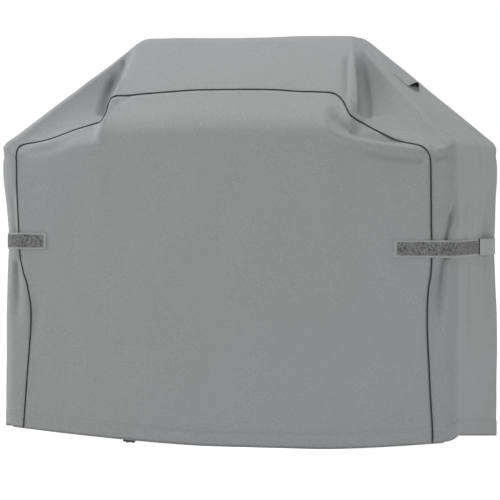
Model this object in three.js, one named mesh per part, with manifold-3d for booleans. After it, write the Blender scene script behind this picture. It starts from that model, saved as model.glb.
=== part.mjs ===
// Fabric cover for a 55 inch barbecue grill, standing in its fitted shape.
// Millimetres, +Z up. X runs along the width, the front faces -Y, and the origin is at the
// middle of the footprint, on the ground.

import * as THREE from 'three';
import { mergeVertices } from 'three/addons/utils/BufferGeometryUtils.js';
import Module from 'manifold-3d';

const wasm = await Module();
wasm.setup();

// ---------------------------------------------------------------- driving dimensions

const WIDTH = 1400;
const DEPTH = 615;
const HEIGHT = 1219;
const HALF_W = WIDTH / 2;
const HALF_D = DEPTH / 2;

const SHOULDER = 892; // height of the side edges, over the side shelves
const RIDGE_X = 335; // half length of the flat top
const RIDGE_Y = 72; // half depth of the flat top
const LID_BEND = 950; // height where the lid slope turns down into the front
const CORNER_R = 45; // upright corners
const RIDGE_ROUND = 30; // length that each ridge rounding takes on either side
const BEND_ROUND = 34;

const FABRIC = 1.6; // fabric and its coating
const GAP = 0.4; // clearance between neighbours
const PIPING_R = 2.5;
const SEAM_EASE = 4.9; // from the seam line to each fabric edge

const HEM_HEIGHT = 48;
const HEM_LIP = 1.4;
const HEM_CLEAR = 2.6; // from the hem lip up to the edges of the fabric
const CASING_DEPTH = 8; // from the outer face to the inner wall of the hem casing
const CORD_R = 1.75;
const CORD_DEPTH = 4.9; // cord centre, behind the outer face
const CORD_RISE = 8; // cord centre, above the hem edge
const HEM_LIFT = { frontLeft: 46, frontRight: 31, sideRight: 50, sideLeft: 46 };

const STRAP_HEIGHT = 50;
const TAPE_HEIGHT = 38;
const STRAP_Z = { left: 604, right: 586 };
const STRAP_FRONT_X = { left: 556, right: 517 }; // where each strap base ends on the front
const TAPE_INSET = 9;
const STRIP = 1.2; // thickness of strap, loop and hook strips
const BASE_END_Y = 85; // end of the strap base on the side
const TAB_FREE_Y = 23; // free end of the tab on the side
const TAB_ROOT_Y = 268; // sewn end of the tab
const TAB_BOW = 9; // how far the tab stands off just before its sewn end
const HOOK_LENGTH = 70;

const VENT = { y: -42, width: 140, length: 44, rise: 20, z: 1092 };
const VENT_HOLE = { width: 104, length: 26 };

const LOCK = { x: -305, y: -260, z: 9.6, radius: 9, length: 28, bore: 6.2 };
const PLUNGER = { radius: 5.8, headRadius: 6.6, head: 3.5, out: 8 };
const STRAND = 2.3; // half distance between the two cord strands
const EYELET_RISE = 12; // eyelet centre, above the hem edge
const BEAD_Y = -212;

// ---------------------------------------------------------------- small helpers

const lerp = (a, b, t) => a + (b - a) * t;
const clamp = (v, lo, hi) => Math.min(hi, Math.max(lo, v));
const smooth = (t) => {
  const c = clamp(t, 0, 1);
  return c * c * (3 - 2 * c);
};

// 0 below zero, the value itself above, with a soft knee of half width r between them.
function ramp(value, r) {
  if (value <= -r) return 0;
  if (value >= r) return value;
  return (value + r) ** 2 / (4 * r);
}

const vec = (x, y, z) => new THREE.Vector3(x, y, z);

// Point on a rounded corner; on a square corner with equal legs it is a true arc.
function conic(start, corner, end, t) {
  const weights = [(1 - t) ** 2, 2 * t * (1 - t) * Math.SQRT1_2, t ** 2];
  const total = weights[0] + weights[1] + weights[2];
  return start.clone().multiplyScalar(weights[0] / total)
    .addScaledVector(corner, weights[1] / total)
    .addScaledVector(end, weights[2] / total);
}

// Closed solid between an outer grid of points and the same grid moved inwards.
function sheetGeometry(rows, thickness) {
  const nRows = rows.length;
  const nCols = rows[0].length;
  const normals = gridNormals(rows);
  const positions = [];
  rows.forEach((row) => row.forEach((p) => positions.push(p.x, p.y, p.z)));
  rows.forEach((row, i) => row.forEach((p, j) => {
    const q = p.clone().addScaledVector(normals[i][j], -thickness);
    positions.push(q.x, q.y, q.z);
  }));
  const outer = (i, j) => i * nCols + j;
  const inner = (i, j) => nRows * nCols + i * nCols + j;
  const index = [];
  const quad = (a, b, c, d) => index.push(a, b, c, a, c, d);
  for (let i = 0; i < nRows - 1; i += 1) {
    for (let j = 0; j < nCols - 1; j += 1) {
      quad(outer(i, j), outer(i, j + 1), outer(i + 1, j + 1), outer(i + 1, j));
      quad(inner(i, j), inner(i + 1, j), inner(i + 1, j + 1), inner(i, j + 1));
    }
  }
  for (let j = 0; j < nCols - 1; j += 1) {
    const last = nRows - 1;
    quad(outer(0, j + 1), outer(0, j), inner(0, j), inner(0, j + 1));
    quad(outer(last, j), outer(last, j + 1), inner(last, j + 1), inner(last, j));
  }
  for (let i = 0; i < nRows - 1; i += 1) {
    const last = nCols - 1;
    quad(outer(i, 0), outer(i + 1, 0), inner(i + 1, 0), inner(i, 0));
    quad(outer(i + 1, last), outer(i, last), inner(i, last), inner(i + 1, last));
  }
  return indexed(positions, index);
}

function gridNormals(rows) {
  const nRows = rows.length;
  const nCols = rows[0].length;
  return rows.map((row, i) => row.map((_, j) => {
    const alongRow = rows[i][Math.min(j + 1, nCols - 1)].clone().sub(rows[i][Math.max(j - 1, 0)]);
    const alongCol = rows[Math.min(i + 1, nRows - 1)][j].clone().sub(rows[Math.max(i - 1, 0)][j]);
    return alongRow.cross(alongCol).normalize();
  }));
}

// Closed ring swept from equal closed sections, in order round a closed path.
function ringGeometry(sections) {
  const n = sections.length;
  const m = sections[0].length;
  const positions = [];
  sections.forEach((section) => section.forEach((p) => positions.push(p.x, p.y, p.z)));
  const index = [];
  for (let i = 0; i < n; i += 1) {
    for (let j = 0; j < m; j += 1) {
      const a = i * m + j;
      const b = ((i + 1) % n) * m + j;
      const c = ((i + 1) % n) * m + ((j + 1) % m);
      const d = i * m + ((j + 1) % m);
      index.push(a, b, c, a, c, d);
    }
  }
  return indexed(positions, index);
}

function indexed(positions, index) {
  const geometry = new THREE.BufferGeometry();
  geometry.setAttribute('position', new THREE.Float32BufferAttribute(positions, 3));
  geometry.setIndex(index);
  geometry.computeVertexNormals();
  return geometry;
}

function tubeGeometry(curve, radius, steps, sides) {
  const ring = Array.from({ length: sides }, (_, k) => {
    const angle = (2 * Math.PI * k) / sides;
    return new THREE.Vector2(radius * Math.cos(angle), radius * Math.sin(angle));
  });
  return new THREE.ExtrudeGeometry(new THREE.Shape(ring), {
    steps,
    bevelEnabled: false,
    extrudePath: curve,
  });
}

function toSolid(geometry) {
  const plain = geometry.clone();
  plain.deleteAttribute('normal');
  plain.deleteAttribute('uv');
  const merged = mergeVertices(plain, 1e-4);
  const solid = new wasm.Mesh({
    numProp: 3,
    vertProperties: Float32Array.from(merged.attributes.position.array),
    triVerts: Uint32Array.from(merged.index.array),
  });
  return new wasm.Manifold(solid);
}

function fromSolid(solid) {
  const mesh = solid.getMesh();
  return indexed(Array.from(mesh.vertProperties), Array.from(mesh.triVerts));
}

const cut = (geometry, ...tools) => fromSolid(
  tools.reduce((solid, tool) => solid.subtract(toSolid(tool)), toSolid(geometry)),
);

// Cylinder from a lathe profile of [radius, height] pairs, laid along +X.
function latheAlongX(profile, segments) {
  const points = profile.map(([r, h]) => new THREE.Vector2(r, h));
  return new THREE.LatheGeometry(points, segments).rotateZ(-Math.PI / 2);
}

// ---------------------------------------------------------------- materials

const looks = {
  fabric: { color: 0x8f9190, roughness: 0.85 },
  piping: { color: 0x1c1c1e, roughness: 0.6 },
  binding: { color: 0x7c7e7e, roughness: 0.85 },
  hookLoop: { color: 0x3a3b3d, roughness: 0.95 },
  cord: { color: 0x222224, roughness: 0.8 },
  plastic: { color: 0x161618, roughness: 0.45 },
  mesh: { color: 0x0f0f10, roughness: 0.9 },
  steel: { color: 0xb0b2b4, roughness: 0.3, metalness: 1 },
};

const cover = new THREE.Group();

function add(name, geometry, look) {
  const mesh = new THREE.Mesh(geometry, new THREE.MeshStandardMaterial(looks[look]));
  mesh.name = name;
  cover.add(mesh);
  return mesh;
}

// ---------------------------------------------------------------- the draped shape

// Height where the front starts to lean back, at a distance from the middle.
function bendHeight(distance) {
  const overShelf = lerp(908, 872, smooth((distance - 370) / 320));
  return lerp(LID_BEND, overShelf, smooth((distance - 290) / 90));
}

// The grill lid's slope under the fabric, as a depth in front of the middle plane.
function lidDepth(z) {
  const slope = (HALF_D - RIDGE_Y) / (HEIGHT - LID_BEND);
  return HALF_D - slope * ramp(z - LID_BEND, BEND_ROUND);
}

// The hanging fabric between the end ridge and the side shelf: a concave curve.
function shelfDepth(distance, z) {
  const along = clamp((distance - RIDGE_X) / (HALF_W - RIDGE_X), 0, 1);
  const ridgeZ = lerp(HEIGHT, SHOULDER, along);
  const ridgeY = lerp(RIDGE_Y, HALF_D, along);
  const low = bendHeight(distance);
  const height = Math.max(ridgeZ - low, 1);
  const q = clamp(ramp(z - low, Math.min(18, height / 2)) / height, 0, 1);
  const t = (Math.sqrt(0.36 + 1.6 * q) - 0.6) / 0.8;
  return ridgeY + (HALF_D - ridgeY) * (1 - 1.4 * t + 0.4 * t * t);
}

// Depth of the front surface; the back is its mirror image.
function faceDepth(x, z) {
  const distance = Math.abs(x);
  const lidEnd = RIDGE_X + 0.2 * clamp(1185 - z, 0, 240);
  const off = smooth((distance - lidEnd) / 34);
  return lerp(lidDepth(z), Math.min(shelfDepth(distance, z), HALF_D), off);
}

// Rise of the hem edge above the ground, at a place on the footprint.
function hemLift(x, y) {
  const left = x < 0;
  const frontLift = left ? HEM_LIFT.frontLeft : HEM_LIFT.frontRight;
  const flat = left ? 40 : 290;
  const along = clamp((Math.abs(x) - flat) / (HALF_W - flat), 0, 1);
  const front = frontLift * along ** 1.4;
  if (y < -HALF_D + 1) return front;
  if (y > HALF_D - 1) return 0;
  if (Math.abs(x) < HALF_W - CORNER_R - 1) return y < 0 ? front : 0;
  const sideLift = left ? HEM_LIFT.sideLeft : HEM_LIFT.sideRight;
  const back = clamp((HALF_D - y) / DEPTH, 0, 1);
  const step = smooth((y + HALF_D) / CORNER_R);
  return lerp(frontLift, sideLift * back, step);
}

// Seam lines on the (x, z) plane, from the middle of the lid down to the hem. The left end of
// the front's seam drops steeply behind the end of the lid and turns sharply at the shoulder.
const SEAM = [
  [0, 1054], [120, 1053], [200, 1048], [270, 1045], [312, 1041], [334, 1030], [352, 1013],
  [369, 989], [385, 970], [407, 952], [442, 934], [491, 914], [531, 900], [562, 891], [586, 886],
  [604, 878], [617, 865], [624, 847], [626, 810], [627, 750], [628, 660], [629, 570], [626, 512],
  [619, 466], [616, 400], [617, 330], [624, 200], [632, 60],
];
const SEAM_FRONT_LEFT = [
  [0, 1054], [110, 1055], [200, 1052], [270, 1048], [320, 1043], [348, 1042], [363, 1039],
  [371, 1028], [375, 1010], [378, 988], [386, 970], [402, 962], [422, 956], [450, 946],
  [484, 934], [520, 920], [556, 908], [590, 901], [622, 897], [641, 892], [650, 881], [651, 862],
  [650, 830], [650, 780], [649, 720], [646, 660], [643, 600], [639, 550], [629, 508], [616, 468],
  [607, 400], [609, 320], [618, 200], [628, 60],
];

function seamPoints(toFront) {
  const mirrored = ([x, z]) => new THREE.Vector2(-x, z);
  const left = (toFront ? SEAM_FRONT_LEFT : SEAM).slice(1).reverse().map(mirrored);
  const right = SEAM.map(([x, z]) => new THREE.Vector2(x, z));
  const end = (p) => {
    const y = toFront ? -HALF_D : HALF_D;
    return new THREE.Vector2(p.x, hemLift(p.x, y) + HEM_LIP + HEM_CLEAR);
  };
  return [end(left[0]), ...left, ...right, end(right[right.length - 1])];
}

// Station parameters along one half: 0 to 1 up the side, 1 to 2 up the slope, 2 to 3 along
// the flat top to the middle.
const HALF_STATIONS = [
  0, 0.22, 0.34, 0.42, 0.48, 0.52, 0.56, 0.62, 0.7, 0.84, 0.92, 0.96, 0.98, 1, 1.02, 1.04, 1.06,
  1.08, 1.12, 1.25, 1.33, 1.42, 1.55, 1.7, 1.8, 1.84, 1.87, 1.9, 1.95, 2, 2.03, 2.06, 2.09, 2.14,
  2.22, 2.35, 2.65,
];
const STATIONS = [
  ...HALF_STATIONS, 3, ...HALF_STATIONS.map((t) => 6 - t).reverse(),
];

class Outline {
  // An offset moves the line towards the top band when positive, towards the panel when negative.
  constructor(toFront) {
    const spline = new THREE.SplineCurve(seamPoints(toFront));
    this.points = spline.getPoints(640);
    this.lengths = [0];
    for (let k = 1; k < this.points.length; k += 1) {
      const step = this.points[k].distanceTo(this.points[k - 1]);
      this.lengths.push(this.lengths[k - 1] + step);
    }
    const total = this.lengths[this.lengths.length - 1];
    const cornerHeight = 862;
    const lidFoot = 1010;
    this.knots = [
      0,
      this.lengthWhere((p) => p.y > cornerHeight),
      this.lengthWhere((p) => p.y > lidFoot),
      this.lengthWhere((p) => p.x > 0),
      this.lengthWhere((p) => p.x > 0 && p.y < lidFoot),
      this.lengthWhere((p) => p.x > 0 && p.y < cornerHeight),
      total,
    ];
  }

  lengthWhere(test) {
    return this.lengths[this.points.findIndex(test)];
  }

  lengthAt(station) {
    const k = Math.min(Math.floor(station), 5);
    return lerp(this.knots[k], this.knots[k + 1], station - k);
  }

  at(station, offset = 0) {
    return this.atLength(this.lengthAt(station), offset);
  }

  atLength(s, offset = 0) {
    let i = this.lengths.findIndex((value) => value >= s);
    i = clamp(i < 0 ? this.lengths.length - 1 : i, 1, this.lengths.length - 1);
    const span = this.lengths[i] - this.lengths[i - 1];
    const t = clamp((s - this.lengths[i - 1]) / span, 0, 1);
    const a = this.points[i - 1];
    const b = this.points[i];
    const along = b.clone().sub(a).normalize();
    const p = a.clone().lerp(b, t);
    return new THREE.Vector2(p.x - along.y * offset, p.y + along.x * offset);
  }
}

// Ridge of the band at a station: up the corner, up the slope, and along the top.
function ridgePoint(station) {
  const mirrored = station > 3;
  const s = mirrored ? 6 - station : station;
  const corners = [
    vec(-HALF_W, -HALF_D, 0), vec(-HALF_W, -HALF_D, SHOULDER),
    vec(-RIDGE_X, -RIDGE_Y, HEIGHT), vec(0, -RIDGE_Y, HEIGHT),
  ];
  const k = Math.min(Math.floor(s), 2);
  let p = corners[k].clone().lerp(corners[k + 1], s - k);
  [1, 2].forEach((corner) => {
    const reach = corner === 1 ? 0.07 : 0.1;
    if (Math.abs(s - corner) < reach) {
      const t = (s - corner + reach) / (2 * reach);
      const before = corners[corner].clone().lerp(corners[corner - 1], reach);
      const after = corners[corner].clone().lerp(corners[corner + 1], reach);
      const one = before.lerp(corners[corner], t);
      p = one.lerp(corners[corner].clone().lerp(after, t), t);
    }
  });
  if (mirrored) p.x = -p.x;
  return p;
}

const onFront = (p, sign) => vec(p.x, sign * faceDepth(p.x, p.y), p.y);

// One cross-section of the band: front seam, front ridge, back ridge, back seam.
function bandSection(station, front, back) {
  const ridge = ridgePoint(station);
  const half = (outline, sign) => {
    const upright = station < 1 || station > 5;
    const foot = outline.at(station, SEAM_EASE);
    const top = ridge.clone();
    top.y *= -sign;
    if (upright) {
      const hem = hemLift(top.x, sign * HALF_D) + HEM_LIP + HEM_CLEAR;
      top.z = Math.max(foot.y, hem);
    }
    const lean = Math.abs(top.y) - faceDepth(foot.x, foot.y);
    const reach = Math.hypot(top.x - foot.x, top.z - foot.y, lean);
    const round = upright ? CORNER_R : RIDGE_ROUND;
    const stop = 1 - Math.min(round / reach, upright ? 0.97 : 0.6);
    const points = [0, 0.5, 1].map((t) => {
      const x = lerp(foot.x, top.x, t * stop);
      const z = lerp(foot.y, top.z, t * stop);
      return onFront(new THREE.Vector2(x, z), sign);
    });
    const last = points[points.length - 1];
    const next = vec(top.x, top.y - sign * round, top.z);
    const arc = [0.24, 0.5, 0.76, 1].map((t) => conic(last, top, next, t));
    return [...points, ...arc];
  };
  const frontHalf = half(front, -1);
  const backHalf = half(back, 1).reverse();
  const a = frontHalf[frontHalf.length - 1];
  const b = backHalf[0];
  const middle = [0.25, 0.5, 0.75].map((t) => a.clone().lerp(b, t));
  return [...frontHalf, ...middle, ...backHalf];
}

function liftedBand(front, back) {
  return STATIONS.map((station, k) => {
    const section = bandSection(station, front, back);
    if (k === 0 || k === STATIONS.length - 1) {
      section.forEach((p) => {
        p.z = hemLift(p.x, p.y) + HEM_LIP + HEM_CLEAR;
      });
    }
    return section;
  });
}

// A front or back panel: a patch between the hem and the seam line.
const PANEL_ROWS = [...HALF_STATIONS.filter((t) => t <= 1), 0.905, 0.945].sort((a, b) => a - b);
const PANEL_COLUMNS = STATIONS.filter((t) => t >= 1 && t <= 5);

function panelRows(outline, sign) {
  const leftCorner = outline.knots[1];
  const rightCorner = outline.knots[5];
  const total = outline.knots[6];
  const side = (s) => outline.atLength(s, -SEAM_EASE);
  const bottomLeft = side(0);
  const bottomRight = side(total);
  return PANEL_ROWS.map((t) => {
    const left = side(leftCorner * t);
    const right = side(lerp(total, rightCorner, t));
    return PANEL_COLUMNS.map((station) => {
      const reach = outline.lengthAt(station);
      const s = (reach - leftCorner) / (rightCorner - leftCorner);
      const top = side(reach);
      const bottomX = lerp(bottomLeft.x, bottomRight.x, s);
      const bottomZ = hemLift(bottomX, sign * HALF_D) + HEM_LIP + HEM_CLEAR;
      const topLine = side(leftCorner).lerp(side(rightCorner), s);
      const bottomLine = bottomLeft.clone().lerp(bottomRight, s);
      const x = lerp(bottomX, top.x, t) + lerp(left.x, right.x, s) - lerp(bottomLine.x, topLine.x, t);
      const z = lerp(bottomZ, top.y, t) + lerp(left.y, right.y, s) - lerp(bottomLine.y, topLine.y, t);
      return onFront(new THREE.Vector2(x, z), sign);
    });
  });
}

const frontLine = new Outline(true);
const backLine = new Outline(false);

const backRows = panelRows(backLine, 1).map((row) => row.reverse());
add('front_panel', sheetGeometry(panelRows(frontLine, -1), FABRIC), 'fabric');
add('back_panel', sheetGeometry(backRows, FABRIC), 'fabric');

// ---------------------------------------------------------------- vents in the slopes

// Frame on a side slope: origin on the outer face, u down the slope, w out of it.
function slopeFrame(side) {
  const sign = side === 'left' ? -1 : 1;
  const run = HALF_W - RIDGE_X;
  const drop = HEIGHT - SHOULDER;
  const length = Math.hypot(run, drop);
  const u = vec((sign * run) / length, 0, -drop / length);
  const w = vec((sign * drop) / length, 0, run / length);
  const along = (HEIGHT - VENT.z) / drop;
  const origin = vec(sign * (RIDGE_X + run * along), VENT.y, VENT.z);
  return { sign, u, w, origin };
}

function onSlope(frame, down, y, up) {
  return frame.origin.clone()
    .addScaledVector(frame.u, down)
    .addScaledVector(frame.w, up)
    .add(vec(0, y, 0));
}

// Box laid in the slope's own directions.
function slopeBox(frame, down, length, width, low, high) {
  const matrix = new THREE.Matrix4().makeBasis(
    frame.u,
    vec(0, frame.sign, 0),
    frame.w,
  );
  const centre = onSlope(frame, down + length / 2, 0, (low + high) / 2);
  return new THREE.BoxGeometry(length, width, high - low)
    .applyMatrix4(matrix.setPosition(centre));
}

const ventRise = (across) => Math.sin(Math.PI * (across + 0.5)) ** 0.85;

function ventHood(frame) {
  const ups = [0, 0.18, 0.4, 0.7, 1];
  const columns = 16;
  const rows = ups.map((t) => Array.from({ length: columns + 1 }, (_, j) => {
    const across = j / columns - 0.5;
    const rise = VENT.rise * ventRise(across) * Math.sin((Math.PI / 2) * t);
    return onSlope(frame, VENT.length * t, VENT.width * across, STRIP + GAP + rise);
  }));
  return sheetGeometry(frame.sign > 0 ? rows.reverse() : rows, STRIP);
}

function ventStay(frame) {
  const reach = VENT.length - 4;
  const points = Array.from({ length: 13 }, (_, j) => {
    const across = lerp(-0.42, 0.42, j / 12);
    const rise = VENT.rise * ventRise(across) * Math.sin((Math.PI / 2) * (reach / VENT.length));
    return onSlope(frame, reach, VENT.width * across, rise - 1.6);
  });
  return tubeGeometry(new THREE.CatmullRomCurve3(points), 0.9, 24, 6);
}

const ventHoles = ['left', 'right'].map((side) => slopeBox(
  slopeFrame(side), 12, VENT_HOLE.length, VENT_HOLE.width, -20, 20,
));
const band = sheetGeometry(liftedBand(frontLine, backLine).reverse(), FABRIC);
add('top_and_side_band', cut(band, ...ventHoles), 'fabric');

['left', 'right'].forEach((side) => {
  const frame = slopeFrame(side);
  const under = -FABRIC - GAP;
  const border = 9;
  add(`${side}_vent_hood`, ventHood(frame), 'fabric');
  add(`${side}_vent_stay`, ventStay(frame), 'plastic');
  add(`${side}_vent_mesh`, slopeBox(
    frame, 12 - border, VENT_HOLE.length + 2 * border, VENT_HOLE.width + 2 * border,
    under - STRIP, under,
  ), 'mesh');
});

// ---------------------------------------------------------------- piping in both seams

function pipingGeometry(outline, sign) {
  const inset = 6;
  const total = outline.knots[6];
  const points = STATIONS.map((station) => {
    const s = clamp(outline.lengthAt(station), inset, total - inset);
    return onFront(outline.atLength(s), sign);
  });
  const curve = new THREE.CatmullRomCurve3(points);
  curve.arcLengthDivisions = 2000;
  return tubeGeometry(curve, PIPING_R, 130, 6);
}

add('front_piping', pipingGeometry(frontLine, -1), 'piping');
add('back_piping', pipingGeometry(backLine, 1), 'piping');

// ---------------------------------------------------------------- hem casing and its cord

// Footprint at a distance round it, starting at the middle of the front and going to +X.
const STRAIGHT_X = HALF_W - CORNER_R;
const STRAIGHT_Y = HALF_D - CORNER_R;
const ARC = (Math.PI / 2) * CORNER_R;
const ROUND = 4 * (STRAIGHT_X + STRAIGHT_Y + ARC);

function footprint(distance, depth) {
  const quarter = ROUND / 4;
  let s = ((distance % ROUND) + ROUND) % ROUND;
  const turn = Math.floor(s / quarter);
  s -= turn * quarter;
  const forward = turn % 2 === 0;
  const first = forward ? STRAIGHT_X : STRAIGHT_Y;
  const second = forward ? STRAIGHT_Y : STRAIGHT_X;
  const r = CORNER_R - depth;
  let p;
  if (s < first) p = vec(s, -second - r, 0);
  else if (s < first + ARC) {
    const angle = (s - first) / CORNER_R;
    p = vec(first + r * Math.sin(angle), -second - r * Math.cos(angle), 0);
  } else p = vec(first + r, -second + (s - first - ARC), 0);
  const angle = (turn * Math.PI) / 2;
  return p.applyAxisAngle(vec(0, 0, 1), angle);
}

const hemZ = (distance) => {
  const p = footprint(distance, 0);
  return hemLift(p.x, p.y);
};

const SECTION = [
  [0, HEM_LIP], [CASING_DEPTH, HEM_LIP], [CASING_DEPTH, HEM_HEIGHT - 12.6], [3, HEM_HEIGHT],
  [4.4, HEM_HEIGHT], [CASING_DEPTH + HEM_LIP, HEM_HEIGHT - 12], [CASING_DEPTH + HEM_LIP, 0], [0, 0],
];

function hemStations() {
  const list = [];
  const quarter = ROUND / 4;
  for (let turn = 0; turn < 4; turn += 1) {
    const first = turn % 2 === 0 ? STRAIGHT_X : STRAIGHT_Y;
    const second = turn % 2 === 0 ? STRAIGHT_Y : STRAIGHT_X;
    const push = (from, to, count) => {
      for (let k = 0; k < count; k += 1) list.push(turn * quarter + lerp(from, to, k / count));
    };
    push(0, first, turn % 2 === 0 ? 8 : 4);
    push(first, first + ARC, 6);
    push(first + ARC, first + ARC + second, turn % 2 === 0 ? 4 : 8);
  }
  return list;
}

const hemRing = ringGeometry(hemStations().map((distance) => SECTION.map(([depth, rise]) => {
  const p = footprint(distance, depth);
  p.z = hemZ(distance) + rise;
  return p;
})));

const lockDistance = LOCK.x;
const lockHem = hemZ(lockDistance);
const eyeletZ = lockHem + EYELET_RISE;
const wallY = -HALF_D + CASING_DEPTH;

function strandX(side) {
  return LOCK.x + side * STRAND;
}

const EYELET = { hole: 4.4, inner: 3.4, flange: 5.6, lip: 0.5, x: 6.6 };
const eyeletHoles = [-1, 1].map((side) => new THREE.CylinderGeometry(
  EYELET.hole, EYELET.hole, 12, 20,
).translate(LOCK.x + side * EYELET.x, wallY, eyeletZ));
add('hem_casing', cut(hemRing, ...eyeletHoles), 'binding');

[-1, 1].forEach((side) => {
  const half = HEM_LIP / 2 + GAP;
  const barrel = EYELET.hole - GAP;
  const profile = [
    [EYELET.inner, -half - EYELET.lip], [EYELET.flange, -half - EYELET.lip], [EYELET.flange, -half],
    [barrel, -half], [barrel, half], [EYELET.flange, half], [EYELET.flange, half + EYELET.lip],
    [EYELET.inner, half + EYELET.lip], [EYELET.inner, -half - EYELET.lip],
  ].map(([r, h]) => new THREE.Vector2(r, h));
  const name = side < 0 ? 'left_cord_eyelet' : 'right_cord_eyelet';
  const ring = new THREE.LatheGeometry(profile, 20);
  ring.translate(LOCK.x + side * EYELET.x, wallY + HEM_LIP / 2 + 0.1, eyeletZ);
  add(name, ring, 'steel');
});

function cordGeometry() {
  const tail = (side) => {
    const x = LOCK.x + side * EYELET.x;
    return [
      vec(strandX(side), BEAD_Y - 6, LOCK.z),
      vec(strandX(side), BEAD_Y - 26, LOCK.z),
      vec(strandX(side), LOCK.y, LOCK.z),
      vec(strandX(side), LOCK.y - 11, LOCK.z),
      vec(strandX(side), LOCK.y - 18, LOCK.z + 1.8),
      vec(lerp(strandX(side), x, 0.5), wallY + 13, lerp(LOCK.z, eyeletZ, 0.6)),
      vec(x, wallY + 5, eyeletZ - 1),
      vec(x, wallY + 0.7, eyeletZ),
      vec(x + side * 0.3, wallY - 1.4, eyeletZ),
      vec(x + side * 2.2, wallY - 3.7, eyeletZ - 0.3),
      vec(x + side * 8, wallY - 4, eyeletZ - 1.4),
    ];
  };
  const round = [];
  const start = lockDistance + EYELET.x + 22;
  const end = lockDistance + ROUND - EYELET.x - 22;
  const count = 220;
  for (let k = 0; k <= count; k += 1) {
    const distance = lerp(start, end, k / count);
    const p = footprint(distance, CORD_DEPTH);
    p.z = hemZ(distance) + CORD_RISE;
    round.push(p);
  }
  const curve = new THREE.CatmullRomCurve3([...tail(1), ...round, ...tail(-1).reverse()]);
  curve.arcLengthDivisions = 3000;
  return tubeGeometry(curve, CORD_R, 280, 5);
}

add('hem_drawcord', cordGeometry(), 'cord');

function beadGeometry() {
  const profile = [
    [0, -7], [3.6, -6.6], [4.8, -4], [5.2, 0], [4.8, 4], [3.6, 6.6], [0, 7],
  ];
  return latheAlongX(profile, 18).translate(LOCK.x, BEAD_Y, LOCK.z);
}

add('cord_end_bead', beadGeometry(), 'plastic');

// ---------------------------------------------------------------- cord lock

// Slot for the two cord strands, running along Y.
const strandSlot = (from, to, height) => new THREE.BoxGeometry(to - from, 40, height)
  .translate((from + to) / 2, 0, 0);
const SLOT_HALF = STRAND + CORD_R + 0.7;
const SLOT_HEIGHT = 2 * CORD_R + 1.4;
const PRESS = 4;

const lockProfile = [
  [LOCK.bore, -LOCK.length / 2], [LOCK.radius - 1, -LOCK.length / 2],
  [LOCK.radius, -LOCK.length / 2 + 1.5], [LOCK.radius, LOCK.length / 2 - 3],
  [LOCK.radius - 3, LOCK.length / 2], [0, LOCK.length / 2], [0, LOCK.length / 2 - 2.2],
  [LOCK.bore, LOCK.length / 2 - 2.2], [LOCK.bore, -LOCK.length / 2],
];
const lockBody = cut(
  latheAlongX(lockProfile, 28),
  strandSlot(-SLOT_HALF, SLOT_HALF, SLOT_HEIGHT),
);
add('cord_lock_body', lockBody.translate(LOCK.x, LOCK.y, LOCK.z), 'plastic');

const plungerStart = -LOCK.length / 2 - PLUNGER.out;
const plungerEnd = SLOT_HALF + 1.4;
const plungerProfile = [
  [0, plungerStart], [PLUNGER.headRadius - 1, plungerStart], [PLUNGER.headRadius, plungerStart + 1],
  [PLUNGER.headRadius, plungerStart + PLUNGER.head], [PLUNGER.radius, plungerStart + PLUNGER.head],
  [PLUNGER.radius, plungerEnd], [0, plungerEnd],
];
const plunger = cut(
  latheAlongX(plungerProfile, 24),
  strandSlot(-SLOT_HALF - PRESS, SLOT_HALF, SLOT_HEIGHT),
);
add('cord_lock_plunger', plunger.translate(LOCK.x, LOCK.y, LOCK.z), 'plastic');

class Helix extends THREE.Curve {
  constructor(radius, start, length, turns) {
    super();
    Object.assign(this, { radius, start, length, turns });
  }

  getPoint(t, target = new THREE.Vector3()) {
    const angle = 2 * Math.PI * this.turns * t;
    const y = this.radius * Math.cos(angle);
    const z = this.radius * Math.sin(angle);
    return target.set(this.start + this.length * t, y, z);
  }
}

const springStart = plungerEnd + 0.75;
const springLength = LOCK.length / 2 - 2.2 - 0.7 - springStart;
const spring = tubeGeometry(new Helix(4.2, springStart, springLength, 3), 0.35, 42, 5);
add('cord_lock_spring', spring.translate(LOCK.x, LOCK.y, LOCK.z), 'steel');

// ---------------------------------------------------------------- straps round the front corners

// Plan path of a strap on the right: along the front, round the corner, back along the side.
// s is 0 at the start of the corner; out is the distance outside the fabric.
function strapPoint(s, out) {
  if (s < 0) return new THREE.Vector2(STRAIGHT_X + s, -HALF_D - out);
  if (s < ARC) {
    const angle = s / CORNER_R;
    const r = CORNER_R + out;
    return new THREE.Vector2(
      STRAIGHT_X + r * Math.sin(angle),
      -STRAIGHT_Y - r * Math.cos(angle),
    );
  }
  return new THREE.Vector2(HALF_W + out, -STRAIGHT_Y + (s - ARC));
}

const sideY = (y) => y + STRAIGHT_Y + ARC;
const PIPING_BUMP = 3.2;

function stripGeometry(side, from, to, low, zCentre, height, standOff) {
  const sign = side === 'left' ? -1 : 1;
  const seamX = side === 'left' ? 644 : 628;
  const seam = seamX - STRAIGHT_X;
  const lift = (s) => {
    const bump = PIPING_BUMP * Math.max(0, Math.cos(clamp((s - seam) / 22, -1, 1) * (Math.PI / 2)));
    return low + bump + (standOff ? standOff(s) : 0);
  };
  const stops = new Set([from, to]);
  const step = 7;
  for (let s = Math.ceil(from / step) * step; s < to; s += step) {
    const straight = (s < seam - 30) || (s > seam + 30 && s < -step) || s > ARC + step;
    if (!straight || (standOff && standOff(s) > 0.01)) stops.add(s);
  }
  const list = [...stops].sort((a, b) => a - b);
  const outer = list.map((s) => strapPoint(s, lift(s) + STRIP));
  const inner = list.map((s) => strapPoint(s, lift(s))).reverse();
  const points = [...outer, ...inner].map((p) => new THREE.Vector2(sign * p.x, p.y));
  const shape = new THREE.Shape(points);
  return new THREE.ExtrudeGeometry(shape, { depth: height, bevelEnabled: false })
    .translate(0, 0, zCentre - height / 2);
}

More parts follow.
